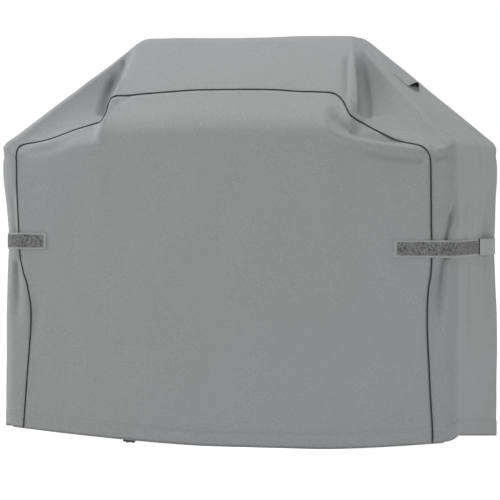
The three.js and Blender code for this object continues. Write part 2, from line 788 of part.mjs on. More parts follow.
const LAYER = STRIP + GAP;
const tabBow = (s) => TAB_BOW * Math.sin(Math.PI * clamp((s - sideY(BASE_END_Y)) / 160, 0, 1)) ** 2;
const tabSettle = (s) => -3 * LAYER * smooth((s - sideY(BASE_END_Y + 90)) / 70);

['left', 'right'].forEach((side) => {
  const z = STRAP_Z[side];
  const start = STRAP_FRONT_X[side] - STRAIGHT_X;
  add(`${side}_strap_base`, stripGeometry(
    side, start, sideY(BASE_END_Y), GAP, z, STRAP_HEIGHT,
  ), 'fabric');
  add(`${side}_loop_tape`, stripGeometry(
    side, start + TAPE_INSET, sideY(BASE_END_Y - TAPE_INSET), GAP + LAYER, z, TAPE_HEIGHT,
  ), 'hookLoop');
  add(`${side}_hook_tape`, stripGeometry(
    side, sideY(TAB_FREE_Y) + 4, sideY(TAB_FREE_Y) + 4 + HOOK_LENGTH - 20, GAP + 2 * LAYER, z,
    TAPE_HEIGHT,
  ), 'hookLoop');
  add(`${side}_tab`, stripGeometry(
    side, sideY(TAB_FREE_Y), sideY(TAB_ROOT_Y), GAP + 3 * LAYER, z, STRAP_HEIGHT,
    (s) => tabBow(s) + tabSettle(s),
  ), 'fabric');
});

export default cover;
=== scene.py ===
"""Looks of a fabric grill cover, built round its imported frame. Metres, +Z up, the front faces -Y."""

import math

import bmesh
import bpy
import numpy as np
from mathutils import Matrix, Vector


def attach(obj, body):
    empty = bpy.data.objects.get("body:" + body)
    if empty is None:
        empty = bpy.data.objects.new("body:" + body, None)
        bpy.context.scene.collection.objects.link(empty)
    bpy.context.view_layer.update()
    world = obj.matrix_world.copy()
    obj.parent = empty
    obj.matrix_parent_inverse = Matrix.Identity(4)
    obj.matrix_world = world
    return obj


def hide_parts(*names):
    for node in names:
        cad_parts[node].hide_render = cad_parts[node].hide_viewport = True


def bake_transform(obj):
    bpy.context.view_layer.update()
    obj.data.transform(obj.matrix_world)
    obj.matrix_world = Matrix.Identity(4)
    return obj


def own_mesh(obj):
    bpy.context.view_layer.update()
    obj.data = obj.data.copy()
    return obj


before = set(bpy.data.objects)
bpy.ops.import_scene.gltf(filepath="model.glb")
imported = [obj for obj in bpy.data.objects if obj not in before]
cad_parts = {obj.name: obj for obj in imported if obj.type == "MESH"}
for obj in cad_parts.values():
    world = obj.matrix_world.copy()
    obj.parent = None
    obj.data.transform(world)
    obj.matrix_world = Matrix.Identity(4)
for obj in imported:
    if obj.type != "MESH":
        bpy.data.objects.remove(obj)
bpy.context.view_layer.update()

# ---------------------------------------------------------------- dimensions of the frame

HALF_W = 0.700
HALF_D = 0.3075
HEIGHT = 1.219
SHOULDER = 0.892  # height of the side edges
RIDGE_X = 0.335  # half length of the flat top
RIDGE_Y = 0.072  # half depth of the flat top
LID_BEND = 0.950  # height where the lid slope turns down into the front
CORNER_R = 0.045
RIDGE_ROUND = 0.026
BEND_ROUND = 0.034
HEM_HEIGHT = 0.048
HEM_LIFT = {"front_left": 0.046, "front_right": 0.031, "side_left": 0.046, "side_right": 0.050}
CASING_DEPTH = 0.008
STRAP_HEIGHT = 0.050
TAPE_HEIGHT = 0.038
STRAP_Z = {"left": 0.604, "right": 0.586}
STRAP_FRONT_X = {"left": 0.556, "right": 0.517}
TAPE_INSET = 0.009
BASE_END_Y = 0.085
TAB_FREE_Y = 0.023
TAB_ROOT_Y = 0.268
TAB_BOW = 0.009
LAYER = 0.0016  # a strip and the gap on top of it
GAP = 0.0004
WEBBING = 0.0012
PILE = 0.0011
PIPING_R = 0.0018
SIDES = {"left": -1, "right": 1}

CLOTH = 0.0009  # thickness of the coated fabric
WEAVE = 0.0011  # pitch of its threads
HEM_TURN = 0.0013  # radius of the fold where an edge is turned in
LIFT_FADE = 0.180  # height over which the hem's lift fades out of the band
SEAM_EASE = 0.0006  # each fabric edge stops this far short of the seam line, under the piping
STRAIGHT_X = HALF_W - CORNER_R
STRAIGHT_Y = HALF_D - CORNER_R
ARC = CORNER_R * math.pi / 2
ROUND = 4 * (STRAIGHT_X + STRAIGHT_Y + ARC)

VENT = {"y": -0.042, "width": 0.140, "length": 0.044, "rise": 0.020, "z": 1.092}
VENT_HOLE = {"start": 0.012, "width": 0.104, "length": 0.026}
LOCK = {"x": -0.305, "y": -0.260, "z": 0.0096, "radius": 0.009, "length": 0.028, "bore": 0.0062}
PRESS = 0.004  # travel of the lock's plunger
STRAND = 0.0023  # distance of each strand from the lock's middle
EYELET_X = 0.0066
EYELET_RISE = 0.012
BEAD_Y = -0.212
CORD_R = 0.00175

rng = np.random.default_rng(11)

# ---------------------------------------------------------------- small maths


def lerp(a, b, t):
    return a + (b - a) * t


def smooth(t):
    c = np.clip(t, 0, 1)
    return c * c * (3 - 2 * c)


def ramp(value, r):
    """0 below zero, the value itself above, with a soft knee of half width r."""
    value = np.asarray(value, float)
    knee = (value + r) ** 2 / (4 * r)
    return np.where(value <= -r, 0.0, np.where(value >= r, value, knee))


def bump(value, centre, width):
    return np.exp(-(((value - centre) / width) ** 2))


def unit(v):
    return v / np.maximum(np.linalg.norm(v, axis=-1, keepdims=True), 1e-12)


def catmull(points, count):
    """Catmull-Rom curve through the points, sampled evenly in its own parameter."""
    p = np.asarray(points, float)
    padded = np.vstack([p[:1], p, p[-1:]])
    t = np.linspace(0, len(p) - 1, count)
    i = np.minimum(t.astype(int), len(p) - 2)
    f = (t - i)[:, None]
    a, b, c, d = (padded[i + k] for k in range(4))
    return 0.5 * (
        2 * b + (c - a) * f + (2 * a - 5 * b + 4 * c - d) * f**2 + (3 * b - a - 3 * c + d) * f**3
    )


def arc_lengths(points):
    steps = np.linalg.norm(np.diff(points, axis=0), axis=1)
    return np.concatenate([[0], np.cumsum(steps)])


def resample(points, count):
    lengths = arc_lengths(points)
    even = np.linspace(0, lengths[-1], count)
    return np.stack([np.interp(even, lengths, points[:, k]) for k in range(points.shape[1])], -1)


# ---------------------------------------------------------------- the draped shape


def bend_height(distance):
    """Height where the front starts to lean back, at a distance from the middle."""
    over_shelf = lerp(0.908, 0.872, smooth((distance - 0.370) / 0.320))
    return lerp(LID_BEND, over_shelf, smooth((distance - 0.290) / 0.090))


def lid_depth(z):
    slope = (HALF_D - RIDGE_Y) / (HEIGHT - LID_BEND)
    return HALF_D - slope * ramp(z - LID_BEND, BEND_ROUND)


def shelf_depth(distance, z):
    """The fabric that hangs between an end ridge and its side shelf: a concave curve."""
    along = np.clip((distance - RIDGE_X) / (HALF_W - RIDGE_X), 0, 1)
    ridge_z = lerp(HEIGHT, SHOULDER, along)
    ridge_y = lerp(RIDGE_Y, HALF_D, along)
    low = bend_height(distance)
    height = np.maximum(ridge_z - low, 0.001)
    q = np.clip(ramp(z - low, np.minimum(0.018, height / 2)) / height, 0, 1)
    t = (np.sqrt(0.36 + 1.6 * q) - 0.6) / 0.8
    return ridge_y + (HALF_D - ridge_y) * (1 - 1.4 * t + 0.4 * t * t)


def face_depth(x, z):
    """Depth of the front surface in front of the middle plane. The back is its mirror image."""
    distance = np.abs(x)
    lid_end = RIDGE_X + 0.2 * np.clip(1.185 - z, 0, 0.240)
    off = smooth((distance - lid_end) / 0.034)
    return lerp(lid_depth(z), np.minimum(shelf_depth(distance, z), HALF_D), off)


def hem_lift(x, y):
    """Rise of the hem above the ground."""
    x, y = np.broadcast_arrays(np.asarray(x, float), np.asarray(y, float))
    left = x < 0
    front_lift = np.where(left, HEM_LIFT["front_left"], HEM_LIFT["front_right"])
    flat = np.where(left, 0.040, 0.290)
    along = np.clip((np.abs(x) - flat) / (HALF_W - flat), 0, 1)
    front = front_lift * along**1.4
    side_lift = np.where(left, HEM_LIFT["side_left"], HEM_LIFT["side_right"])
    back = np.clip((HALF_D - y) / (2 * HALF_D), 0, 1)
    step = smooth((y + HALF_D) / CORNER_R)
    side = lerp(front_lift, side_lift * back, step)
    inner = np.abs(x) < STRAIGHT_X - 0.001
    out = np.where(inner, np.where(y < 0, front, 0.0), side)
    out = np.where(y < -HALF_D + 0.001, front, out)
    return np.where(y > HALF_D - 0.001, 0.0, out)


# Seam lines as (x, z), from the middle of the lid down to the hem. The left end of the front's
# seam drops steeply behind the end of the lid and turns sharply at the shoulder.
SEAM = [
    (0, 1.054), (0.120, 1.053), (0.200, 1.048), (0.270, 1.045), (0.312, 1.041), (0.334, 1.030),
    (0.352, 1.013), (0.369, 0.989), (0.385, 0.970), (0.407, 0.952), (0.442, 0.934),
    (0.491, 0.914), (0.531, 0.900), (0.562, 0.891), (0.586, 0.886), (0.604, 0.878),
    (0.617, 0.865), (0.624, 0.847), (0.626, 0.810), (0.627, 0.750), (0.628, 0.660),
    (0.629, 0.570), (0.626, 0.512), (0.619, 0.466), (0.616, 0.400), (0.617, 0.330),
    (0.624, 0.200), (0.632, 0.060),
]
SEAM_FRONT_LEFT = [
    (0, 1.054), (0.110, 1.055), (0.200, 1.052), (0.270, 1.048), (0.320, 1.043), (0.348, 1.042),
    (0.363, 1.039), (0.371, 1.028), (0.375, 1.010), (0.378, 0.988), (0.386, 0.970),
    (0.402, 0.962), (0.422, 0.956), (0.450, 0.946), (0.484, 0.934), (0.520, 0.920),
    (0.556, 0.908), (0.590, 0.901), (0.622, 0.897), (0.641, 0.892), (0.650, 0.881),
    (0.651, 0.862), (0.650, 0.830), (0.650, 0.780), (0.649, 0.720), (0.646, 0.660),
    (0.643, 0.600), (0.639, 0.550), (0.629, 0.508), (0.616, 0.468), (0.607, 0.400),
    (0.609, 0.320), (0.618, 0.200), (0.628, 0.060),
]
SEAM_AT_STRAP = {"left": 0.644, "right": 0.628}
CORNER_HEIGHT = 0.862  # a seam point above this belongs to the top run
LID_FOOT = 1.010


def seam_points(sign):
    left = SEAM_FRONT_LEFT if sign < 0 else SEAM
    points = [(-x, z) for x, z in left[:0:-1]] + SEAM
    ends = [(p[0], float(hem_lift(p[0], sign * HALF_D))) for p in (points[0], points[-1])]
    return [ends[0], *points, ends[1]]


class Outline:
    """A panel's seam line on the (x, z) plane, from the left hem over the lid to the right hem."""

    def __init__(self, sign):
        self.sign = sign
        self.points = catmull(seam_points(sign), 4000)
        self.lengths = arc_lengths(self.points)
        x, z = self.points.T
        total = self.lengths[-1]
        self.knots = [
            0,
            self.where(z > CORNER_HEIGHT),
            self.where(z > LID_FOOT),
            self.where(x > 0),
            self.where((x > 0) & (z < LID_FOOT)),
            self.where((x > 0) & (z < CORNER_HEIGHT)),
            total,
        ]
        self.tangents = unit(np.gradient(self.points, axis=0))

    def where(self, test):
        return self.lengths[np.argmax(test)]

    def length_at(self, station):
        return np.interp(station, range(7), self.knots)

    def at(self, s, offset=0.0):
        """Points at lengths s, moved towards the band for a positive offset."""
        x, z, tx, tz = (
            np.interp(s, self.lengths, column)
            for column in (*self.points.T, *self.tangents.T)
        )
        return np.stack([x - tz * offset, z + tx * offset], -1)

    def distance(self, x, z):
        """Distance on the plane from each (x, z) to the line."""
        line = self.points[::4]
        out = np.empty(x.shape)
        flat_x, flat_z, flat = x.ravel(), z.ravel(), out.ravel()
        for k in range(0, flat_x.size, 4000):
            part = slice(k, k + 4000)
            dx = flat_x[part, None] - line[None, :, 0]
            dz = flat_z[part, None] - line[None, :, 1]
            flat[part] = np.sqrt((dx**2 + dz**2).min(1))
        return flat.reshape(x.shape)


FRONT_LINE = Outline(-1)
BACK_LINE = Outline(1)


def on_face(x, z, sign):
    return np.stack([x, sign * face_depth(x, z), z], -1)


def ridge_point(station):
    """Ridge of the band: up a corner, up the slope, along the top, and down again."""
    s = 6 - station if station > 3 else station
    corners = [
        np.array([-HALF_W, -HALF_D, 0]), np.array([-HALF_W, -HALF_D, SHOULDER]),
        np.array([-RIDGE_X, -RIDGE_Y, HEIGHT]), np.array([0, -RIDGE_Y, HEIGHT]),
    ]
    k = min(int(s), 2)
    p = lerp(corners[k], corners[k + 1], s - k)
    for corner, reach in ((1, 0.045), (2, 0.055)):
        if abs(s - corner) < reach:
            t = (s - corner + reach) / (2 * reach)
            before = lerp(corners[corner], corners[corner - 1], reach)
            after = lerp(corners[corner], corners[corner + 1], reach)
            p = lerp(lerp(before, corners[corner], t), lerp(corners[corner], after, t), t)
    if station > 3:
        p = p * np.array([-1, 1, 1])
    return p


def conic(start, corner, end, t):
    """Points on a rounded corner; on a square corner with equal legs it is a true arc."""
    weights = np.stack([(1 - t) ** 2, 2 * t * (1 - t) * math.sqrt(0.5), t**2], -1)
    weights = weights / weights.sum(-1, keepdims=True)
    return weights @ np.stack([start, corner, end])


PANEL_ROWS, PANEL_COLUMNS = 136, 196
# Shares of an upright seam's length near the hem, close together at the hem's ledge.
HEM_STEPS = [0, 0.012, 0.024, 0.036, 0.046, 0.0505, 0.0525, 0.054, 0.0555, 0.057, 0.059, 0.0615]
FACE_STEPS, ARC_STEPS, PLANE_STEPS = 27, 11, 48


def half_section(station, outline):
    """From the seam to the end of the ridge's rounding, on the front or the back."""
    sign = outline.sign
    upright = station < 1 or station > 5
    foot_x, foot_z = outline.at(outline.length_at(station), SEAM_EASE)
    top = ridge_point(station)
    top[1] *= -sign
    if upright:
        top[2] = max(foot_z, 0.0)
    lean = abs(top[1]) - float(face_depth(foot_x, foot_z))
    reach = math.hypot(top[0] - foot_x, top[2] - foot_z, lean)
    corner = CORNER_R if upright else RIDGE_ROUND
    stop = 1 - min(corner / reach, 0.97 if upright else 0.6)
    t = np.linspace(0, 1, FACE_STEPS + 1) ** 1.15 * stop
    face = on_face(lerp(foot_x, top[0], t), lerp(foot_z, top[2], t), sign)
    after = top + np.array([0, -sign * corner, 0])
    arc = conic(face[-1], top, after, np.linspace(0, 1, ARC_STEPS + 1)[1:])
    return np.vstack([face, arc])


def band_stations():
    """Stations with close steps where the band bends."""
    wall = np.linspace(0.066, 0.9, 90, endpoint=False)
    upright = np.concatenate([HEM_STEPS, wall, np.linspace(0.9, 1, 16)])
    slope = 1 + np.concatenate([np.linspace(0, 0.12, 14)[1:], np.linspace(0.12, 1, 66)[1:]])
    top = 2 + np.linspace(0, 1, 42)[1:]
    half = np.concatenate([upright, slope, top])
    return np.concatenate([half, 6 - half[-2::-1]])


def band_grid():
    rows = []
    for station in band_stations():
        front = half_section(station, FRONT_LINE)
        back = half_section(station, BACK_LINE)[::-1]
        t = np.linspace(0, 1, PLANE_STEPS + 1)[1:-1, None]
        rows.append(np.vstack([front, lerp(front[-1], back[0], t), back]))
    return np.array(rows)


def panel_grid(outline):
    """A patch between the hem and the seam line."""
    left_corner, right_corner, total = outline.knots[1], outline.knots[5], outline.knots[6]
    t = np.concatenate([HEM_STEPS, np.linspace(0.066, 1, PANEL_ROWS - len(HEM_STEPS))])
    s = np.linspace(0, 1, PANEL_COLUMNS)
    left = outline.at(left_corner * t, -SEAM_EASE)[:, None, :]
    right = outline.at(lerp(total, right_corner, t), -SEAM_EASE)[:, None, :]
    top = outline.at(lerp(left_corner, right_corner, s), -SEAM_EASE)[None, :, :]
    t, s = t[:, None, None], s[None, :, None]
    bottom_line = lerp(left[:1], right[:1], s)
    bottom = bottom_line.copy()
    bottom[..., 1] = hem_lift(bottom[..., 0], outline.sign * HALF_D)
    top_line = lerp(left[-1:], right[-1:], s)
    flat = lerp(bottom, top, t) + lerp(left, right, s) - lerp(bottom_line, top_line, t)
    return on_face(flat[..., 0], flat[..., 1], outline.sign)


# ---------------------------------------------------------------- folds and pulls in the fabric


class Fold:
    """A soft ridge (height above 0) or valley (below 0) along a path on the fabric."""

    def __init__(self, path, height, width, ends=(0.3, 0.3), sharp=2.0):
        self.path = resample(catmull(path, 80), 60)
        self.height = height
        self.width = width if isinstance(width, tuple) else (width, width)
        self.ends = ends
        self.sharp = sharp

    def add_to(self, points, offsets):
        reach = 3.2 * max(self.width)
        low, high = self.path.min(0) - reach, self.path.max(0) + reach
        near = np.flatnonzero(((points > low) & (points < high)).all(1))
        if not near.size:
            return
        t_path = np.linspace(0, 1, len(self.path))
        gap = points[near, None, :] - self.path[None, :, :]
        square = (gap**2).sum(-1)
        nearest = square.argmin(1)
        t = t_path[nearest]
        distance = np.sqrt(square[np.arange(near.size), nearest])
        width = lerp(self.width[0], self.width[1], t)
        start, end = self.ends
        fade = 1.0
        if start:
            fade = fade * smooth(t / start)
        if end:
            fade = fade * smooth((1 - t) / end)
        offsets[near] += self.height * fade * np.exp(-((distance / width) ** self.sharp))


def front(x, z):
    return (x, -float(face_depth(x, z)), z)


def back(x, z):
    return (x, float(face_depth(x, z)), z)


def side(name, y, z):
    return (SIDES[name] * HALF_W, y, z)


def corner(name, angle, z, behind=False):
    """On an upright corner's rounding; angle 0 is on the front or back, 90 on the side."""
    a = math.radians(angle)
    x = SIDES[name] * (STRAIGHT_X + CORNER_R * math.sin(a))
    y = STRAIGHT_Y + CORNER_R * math.cos(a)
    return (x, y if behind else -y, z)


def slope(name, y, z):
    """On the flat of a sloped shoulder."""
    along = (HEIGHT - z) / (HEIGHT - SHOULDER)
    return (SIDES[name] * lerp(RIDGE_X, HALF_W, along), y, z)


def fold_list():
    folds = []

    def fold(*path, height, width, ends=(0.3, 0.3), sharp=2.0):
        folds.append(Fold(path, height, width, ends, sharp))

    # Right end of the lid: a fold stands off along the edge, between two valleys.
    fold(front(0.330, 1.172), front(0.336, 1.120), front(0.347, 1.070), front(0.360, 1.018),
         height=-0.0065, width=(0.007, 0.011), ends=(0.3, 0.15))
    fold(front(0.344, 1.180), front(0.350, 1.140), front(0.366, 1.080), front(0.380, 1.020),
         front(0.392, 0.975), height=0.009, width=(0.007, 0.010), ends=(0.25, 0.2))
    fold(front(0.360, 1.165), front(0.374, 1.100), front(0.392, 1.036), front(0.410, 0.968),
         height=-0.014, width=(0.011, 0.018), ends=(0.35, 0.04))
    fold(front(0.385, 1.140), front(0.410, 1.080), front(0.432, 1.020), front(0.446, 0.960),
         height=-0.010, width=(0.024, 0.042), ends=(0.5, 0.1))
    # The scoop below the seam, between the lid's end and the shelf, and its lower edge.
    fold(front(0.322, 1.010), front(0.340, 0.965), front(0.385, 0.932), front(0.480, 0.904),
         front(0.570, 0.884), height=-0.015, width=(0.022, 0.012), ends=(0.2, 0.3))
    fold(front(0.296, 1.005), front(0.306, 0.955), front(0.325, 0.929), front(0.362, 0.911),
         front(0.430, 0.897), front(0.527, 0.880), front(0.612, 0.866),
         height=0.0085, width=(0.013, 0.009), ends=(0.25, 0.1))
    fold(front(0.400, 0.878), front(0.460, 0.864), front(0.535, 0.851), front(0.622, 0.846),
         height=-0.007, width=0.013, ends=(0.4, 0.1))
    # Left end of the lid: a sharp edge, with small pleats at its top and a dark hollow beside it.
    fold(front(-0.376, 1.165), front(-0.374, 1.122), front(-0.364, 1.087),
         height=-0.006, width=0.006)
    fold(front(-0.369, 1.168), front(-0.368, 1.128), front(-0.360, 1.095),
         height=0.004, width=0.004)
    fold(front(-0.361, 1.168), front(-0.362, 1.134), front(-0.354, 1.100),
         height=-0.003, width=0.004)
    fold(front(-0.384, 1.130), front(-0.402, 1.070), front(-0.408, 1.020), front(-0.410, 0.975),
         height=-0.018, width=(0.013, 0.018), ends=(0.4, 0.12))
    fold(front(-0.360, 1.110), front(-0.368, 1.050), front(-0.376, 0.985),
         height=0.006, width=0.008, ends=(0.3, 0.2))
    fold(front(-0.366, 1.015), front(-0.333, 1.029), front(-0.300, 1.043),
         height=-0.006, width=0.008, ends=(0.2, 0.6))
    fold(front(-0.425, 0.944), front(-0.500, 0.915), front(-0.570, 0.893), front(-0.635, 0.881),
         height=0.005, width=0.010, ends=(0.3, 0.2))
    fold(front(-0.460, 0.905), front(-0.540, 0.878), front(-0.640, 0.868),
         height=-0.006, width=0.014, ends=(0.4, 0.2))
    # Right shoulder corner.
    fold(front(0.634, 0.876), corner("right", 25, 0.875), corner("right", 55, 0.873),
         height=0.004, width=0.007)
    fold(front(0.630, 0.838), corner("right", 12, 0.853), corner("right", 40, 0.858),
         height=-0.006, width=0.009)
    # Cinched folds above and below the right strap.
    fold(corner("right", 62, 0.735), corner("right", 45, 0.690), corner("right", 20, 0.612),
         height=-0.016, width=(0.006, 0.010), ends=(0.5, 0.0))
    fold(corner("right", 95, 0.740), corner("right", 72, 0.680), corner("right", 55, 0.615),
         height=0.006, width=0.012, ends=(0.6, 0.0))
    fold(corner("right", 15, 0.562), front(0.655, 0.480), front(0.653, 0.300),
         height=-0.018, width=(0.013, 0.022), ends=(0.0, 0.75))
    fold(corner("right", 60, 0.560), corner("right", 62, 0.430), corner("right", 60, 0.250),
         height=0.005, width=(0.012, 0.016), ends=(0.0, 0.6))
    fold(side("right", -0.150, 0.800), side("right", -0.170, 0.690), side("right", -0.160, 0.612),
         height=-0.006, width=0.020, ends=(0.6, 0.0))
    fold(side("right", -0.060, 0.780), side("right", -0.075, 0.620),
         height=0.005, width=0.024, ends=(0.6, 0.0))
    fold(side("right", -0.130, 0.560), side("right", -0.140, 0.400), side("right", -0.120, 0.220),
         height=-0.006, width=(0.018, 0.030), ends=(0.0, 0.6))
    fold(side("right", 0.010, 0.560), side("right", 0.020, 0.330),
         height=0.005, width=0.030, ends=(0.0, 0.6))
    fold(side("right", 0.150, 0.820), side("right", 0.130, 0.640), side("right", 0.150, 0.330),
         height=-0.007, width=0.030, ends=(0.4, 0.5))
    # The panel beside the left seam, and the strip outside it.
    fold(front(-0.600, 0.470), front(-0.592, 0.400), front(-0.604, 0.260),
         height=-0.007, width=0.020, ends=(0.4, 0.5))
    fold(front(-0.655, 0.560), front(-0.652, 0.440), front(-0.660, 0.300),
         height=-0.011, width=(0.012, 0.020), ends=(0.1, 0.6))
    fold(front(-0.668, 0.800), front(-0.664, 0.700), front(-0.660, 0.630),
         height=-0.006, width=0.012, ends=(0.5, 0.0))
    fold(side("left", -0.140, 0.790), side("left", -0.150, 0.630),
         height=-0.007, width=0.022, ends=(0.6, 0.0))
    fold(side("left", -0.120, 0.570), side("left", -0.140, 0.300),
         height=-0.007, width=0.026, ends=(0.0, 0.6))
    fold(side("left", 0.100, 0.820), side("left", 0.120, 0.600), side("left", 0.100, 0.300),
         height=-0.008, width=0.034, ends=(0.4, 0.5))
    fold(side("left", -0.010, 0.760), side("left", 0.000, 0.400),
         height=0.006, width=0.030, ends=(0.4, 0.5))
    # Pulls on the slopes, towards the shoulders.
    for name in SIDES:
        fold(slope(name, -0.120, 0.985), slope(name, -0.190, 0.930), side(name, -0.230, 0.870),
             height=-0.004, width=0.018)
        fold(slope(name, 0.120, 0.985), slope(name, 0.190, 0.930), side(name, 0.230, 0.870),
             height=-0.005, width=0.018)
        fold(slope(name, 0.020, 0.960), side(name, 0.040, 0.880), side(name, 0.050, 0.760),
             height=0.004, width=0.030)
    # The back: a few long soft folds that hang from the lid.
    for x, lean, depth in ((-0.52, 0.03, -0.008), (-0.30, -0.04, 0.006), (-0.08, 0.02, -0.007),
                           (0.16, 0.03, 0.006), (0.36, -0.03, -0.008), (0.55, -0.02, 0.005)):
        fold(back(x, 0.900), back(x + lean * 0.5, 0.560), back(x + lean, 0.140),
             height=depth, width=(0.020, 0.040), ends=(0.4, 0.5))
    # Faint pulls on the front.
    fold(front(-0.420, 0.900), front(-0.460, 0.700), front(-0.470, 0.420),
         height=-0.0022, width=0.040)
    fold(front(0.300, 0.880), front(0.330, 0.640), front(0.360, 0.300),
         height=0.0020, width=0.045)
    fold(front(0.020, 0.900), front(-0.020, 0.600), front(-0.040, 0.260),
         height=-0.0016, width=0.060)
    return folds


FOLDS = fold_list()

HEM_LEDGE = 0.0013  # the turned-up hem makes the fabric double
WAVES = 26
wave_directions = unit(rng.normal(size=(WAVES, 3)))
wave_lengths = rng.uniform(0.09, 0.42, WAVES)
wave_phases = rng.uniform(0, 2 * math.pi, WAVES)


def undulation(points):
    """Slow waves of the fabric, about a millimetre high."""
    total = np.zeros(len(points))
    for direction, length, phase in zip(wave_directions, wave_lengths, wave_phases):
        total += 0.00028 * (length / 0.25) * np.sin(points @ direction * 2 * math.pi / length + phase)
    return total


# How far a side wall stands out of its plane, by height: drawn in at the strap, out above it.
WALL_DRAW = {
    "left": [(0.30, 0), (0.43, -0.004), (0.52, -0.007), (0.60, -0.0095), (0.64, -0.009),
             (0.70, -0.003), (0.74, 0.003), (0.79, 0.009), (0.84, 0.010), (0.88, 0.008), (0.94, 0)],
    "right": [(0.26, 0), (0.40, -0.0015), (0.50, -0.004), (0.56, -0.0075), (0.62, -0.007),
              (0.70, -0.006), (0.745, -0.004), (0.78, 0), (0.84, 0.001), (0.94, 0)],
}


def wall_draw(points):
    x, y, z = points.T
    near_side = smooth((np.abs(x) - 0.640) / 0.050)
    toward_front = 1 - 0.75 * smooth((y + 0.200) / 0.350)
    toward_back = smooth((y + 0.250) / 0.350)
    drawn = {
        name: sum(np.interp(z + shift, *np.array(steps).T) for shift in (-0.012, 0, 0.012)) / 3
        for name, steps in WALL_DRAW.items()
    }
    return near_side * np.where(x > 0, drawn["right"] * toward_back, drawn["left"] * toward_front)


def relief(points):
    """Distance that the fabric stands outside the plain draped shape."""
    points = points.reshape(-1, 3)
    offsets = undulation(points)
    for fold in FOLDS:
        fold.add_to(points, offsets)
    x, y, z = points.T
    above_hem = z - hem_lift(x, y) - HEM_HEIGHT
    offsets *= smooth((above_hem + 0.005) / 0.100)
    offsets += HEM_LEDGE * (1 - smooth((above_hem + 0.0022) / 0.0022))
    for name, sign in SIDES.items():
        vent = on_slope(slope_frame(name), VENT["length"] / 2, 0, 0)
        reach = np.linalg.norm((points - vent) / np.array([0.045, 0.095, 0.045]), axis=1)
        offsets = offsets * smooth((reach - 1) / 0.5)
        level = np.abs(z - STRAP_Z[name]) - STRAP_HEIGHT / 2
        held = (x * sign > STRAP_FRONT_X[name]) & (y < BASE_END_Y)
        under = np.where(held, 1 - smooth(level / 0.030), 0.0)
        offsets = np.where(offsets > -0.0008 * under, lerp(offsets, -0.0008, under), offsets)
    return offsets


def draw_vector(points):
    """The wall draw as a shift along X."""
    flat = points.reshape(-1, 3)
    shift = np.zeros_like(flat)
    shift[:, 0] = np.sign(flat[:, 0]) * wall_draw(flat)
    return shift.reshape(points.shape)


def grid_normals(grid):
    normals = np.cross(np.gradient(grid, axis=1), np.gradient(grid, axis=0))
    return unit(normals)


def outward(grid, normals):
    centre = np.array([0, 0, 0.55])
    facing = (normals * (grid - centre)).sum(-1).mean()
    return normals if facing > 0 else -normals


def seam_puff(distance):
    """The fabric is drawn in at a seam and stands up a little beside it."""
    return -0.0005 * bump(distance, 0, 0.003) + 0.0003 * bump(distance, 0.012, 0.007)


def drape(grid, extra=None):
    normals = outward(grid, grid_normals(grid))
    offsets = relief(grid).reshape(grid.shape[:2])
    if extra is not None:
        offsets = offsets + extra
    return grid + normals * offsets[..., None] + draw_vector(grid)


# ---------------------------------------------------------------- meshes


def cloth_uv(grid):
    """Lengths along the rows and columns in metres, so that a weave keeps its size."""
    across = np.linalg.norm(np.diff(grid, axis=1), axis=-1)
    along = np.linalg.norm(np.diff(grid, axis=0), axis=-1)
    u = np.concatenate([np.zeros((grid.shape[0], 1)), np.cumsum(across, 1)], 1)
    v = np.concatenate([np.zeros((1, grid.shape[1])), np.cumsum(along, 0)], 0)
    u = u - u[:, grid.shape[1] // 2][:, None]
    return np.stack([u, v], -1)


def make_object(name, vertices, faces, material, uv=None, smooth_faces=True):
    mesh = bpy.data.meshes.new(name)
    mesh.from_pydata([tuple(v) for v in vertices], [], [tuple(f) for f in faces])
    mesh.validate()
    if uv is not None:
        layer = mesh.uv_layers.new(name="cloth")
        index = np.empty(len(mesh.loops), int)
        mesh.loops.foreach_get("vertex_index", index)
        layer.data.foreach_set("uv", uv[index].astype(np.float32).ravel())
    for m in material if isinstance(material, (list, tuple)) else [material]:
        mesh.materials.append(m)
    mesh.polygons.foreach_set("use_smooth", [smooth_faces] * len(mesh.polygons))
    mesh.update()
    piece = bpy.data.objects.new(name, mesh)
    bpy.context.scene.collection.objects.link(piece)
    return piece


def grid_faces(n_rows, n_cols, close_rows=False, close_cols=False, flip=False):
    faces = []
    for i in range(n_rows if close_rows else n_rows - 1):
        for j in range(n_cols if close_cols else n_cols - 1):
            a = i * n_cols + j
            b = i * n_cols + (j + 1) % n_cols
            c = ((i + 1) % n_rows) * n_cols + (j + 1) % n_cols
            d = ((i + 1) % n_rows) * n_cols + j
            faces.append((d, c, b, a) if flip else (a, b, c, d))
    return faces


def sheet_object(name, grid, material, thickness=CLOTH, inside=None):
    """A cloth sheet from a grid of points on its outer face."""
    normals = grid_normals(grid)
    flip = (outward(grid, normals) != normals).any()
    faces = grid_faces(*grid.shape[:2], flip=bool(flip))
    materials = [material, inside or material]
    uv = cloth_uv(grid).reshape(-1, 2)
    piece = make_object(name, grid.reshape(-1, 3), faces, materials, uv)
    solid = piece.modifiers.new("thickness", "SOLIDIFY")
    solid.thickness = thickness
    solid.offset = -1
    solid.material_offset = 1
    return piece


def parallel_frames(path):
    """Frames that don't twist along the path."""
    tangent = unit(np.gradient(path, axis=0))
    first = np.cross(tangent[0], (0.31, 0.47, 0.82))
    normals = [first / np.linalg.norm(first)]
    for k in range(1, len(path)):
        n = normals[-1] - tangent[k] * np.dot(normals[-1], tangent[k])
        normals.append(n / np.linalg.norm(n))
    normals = np.array(normals)
    return tangent, normals, np.cross(tangent, normals)


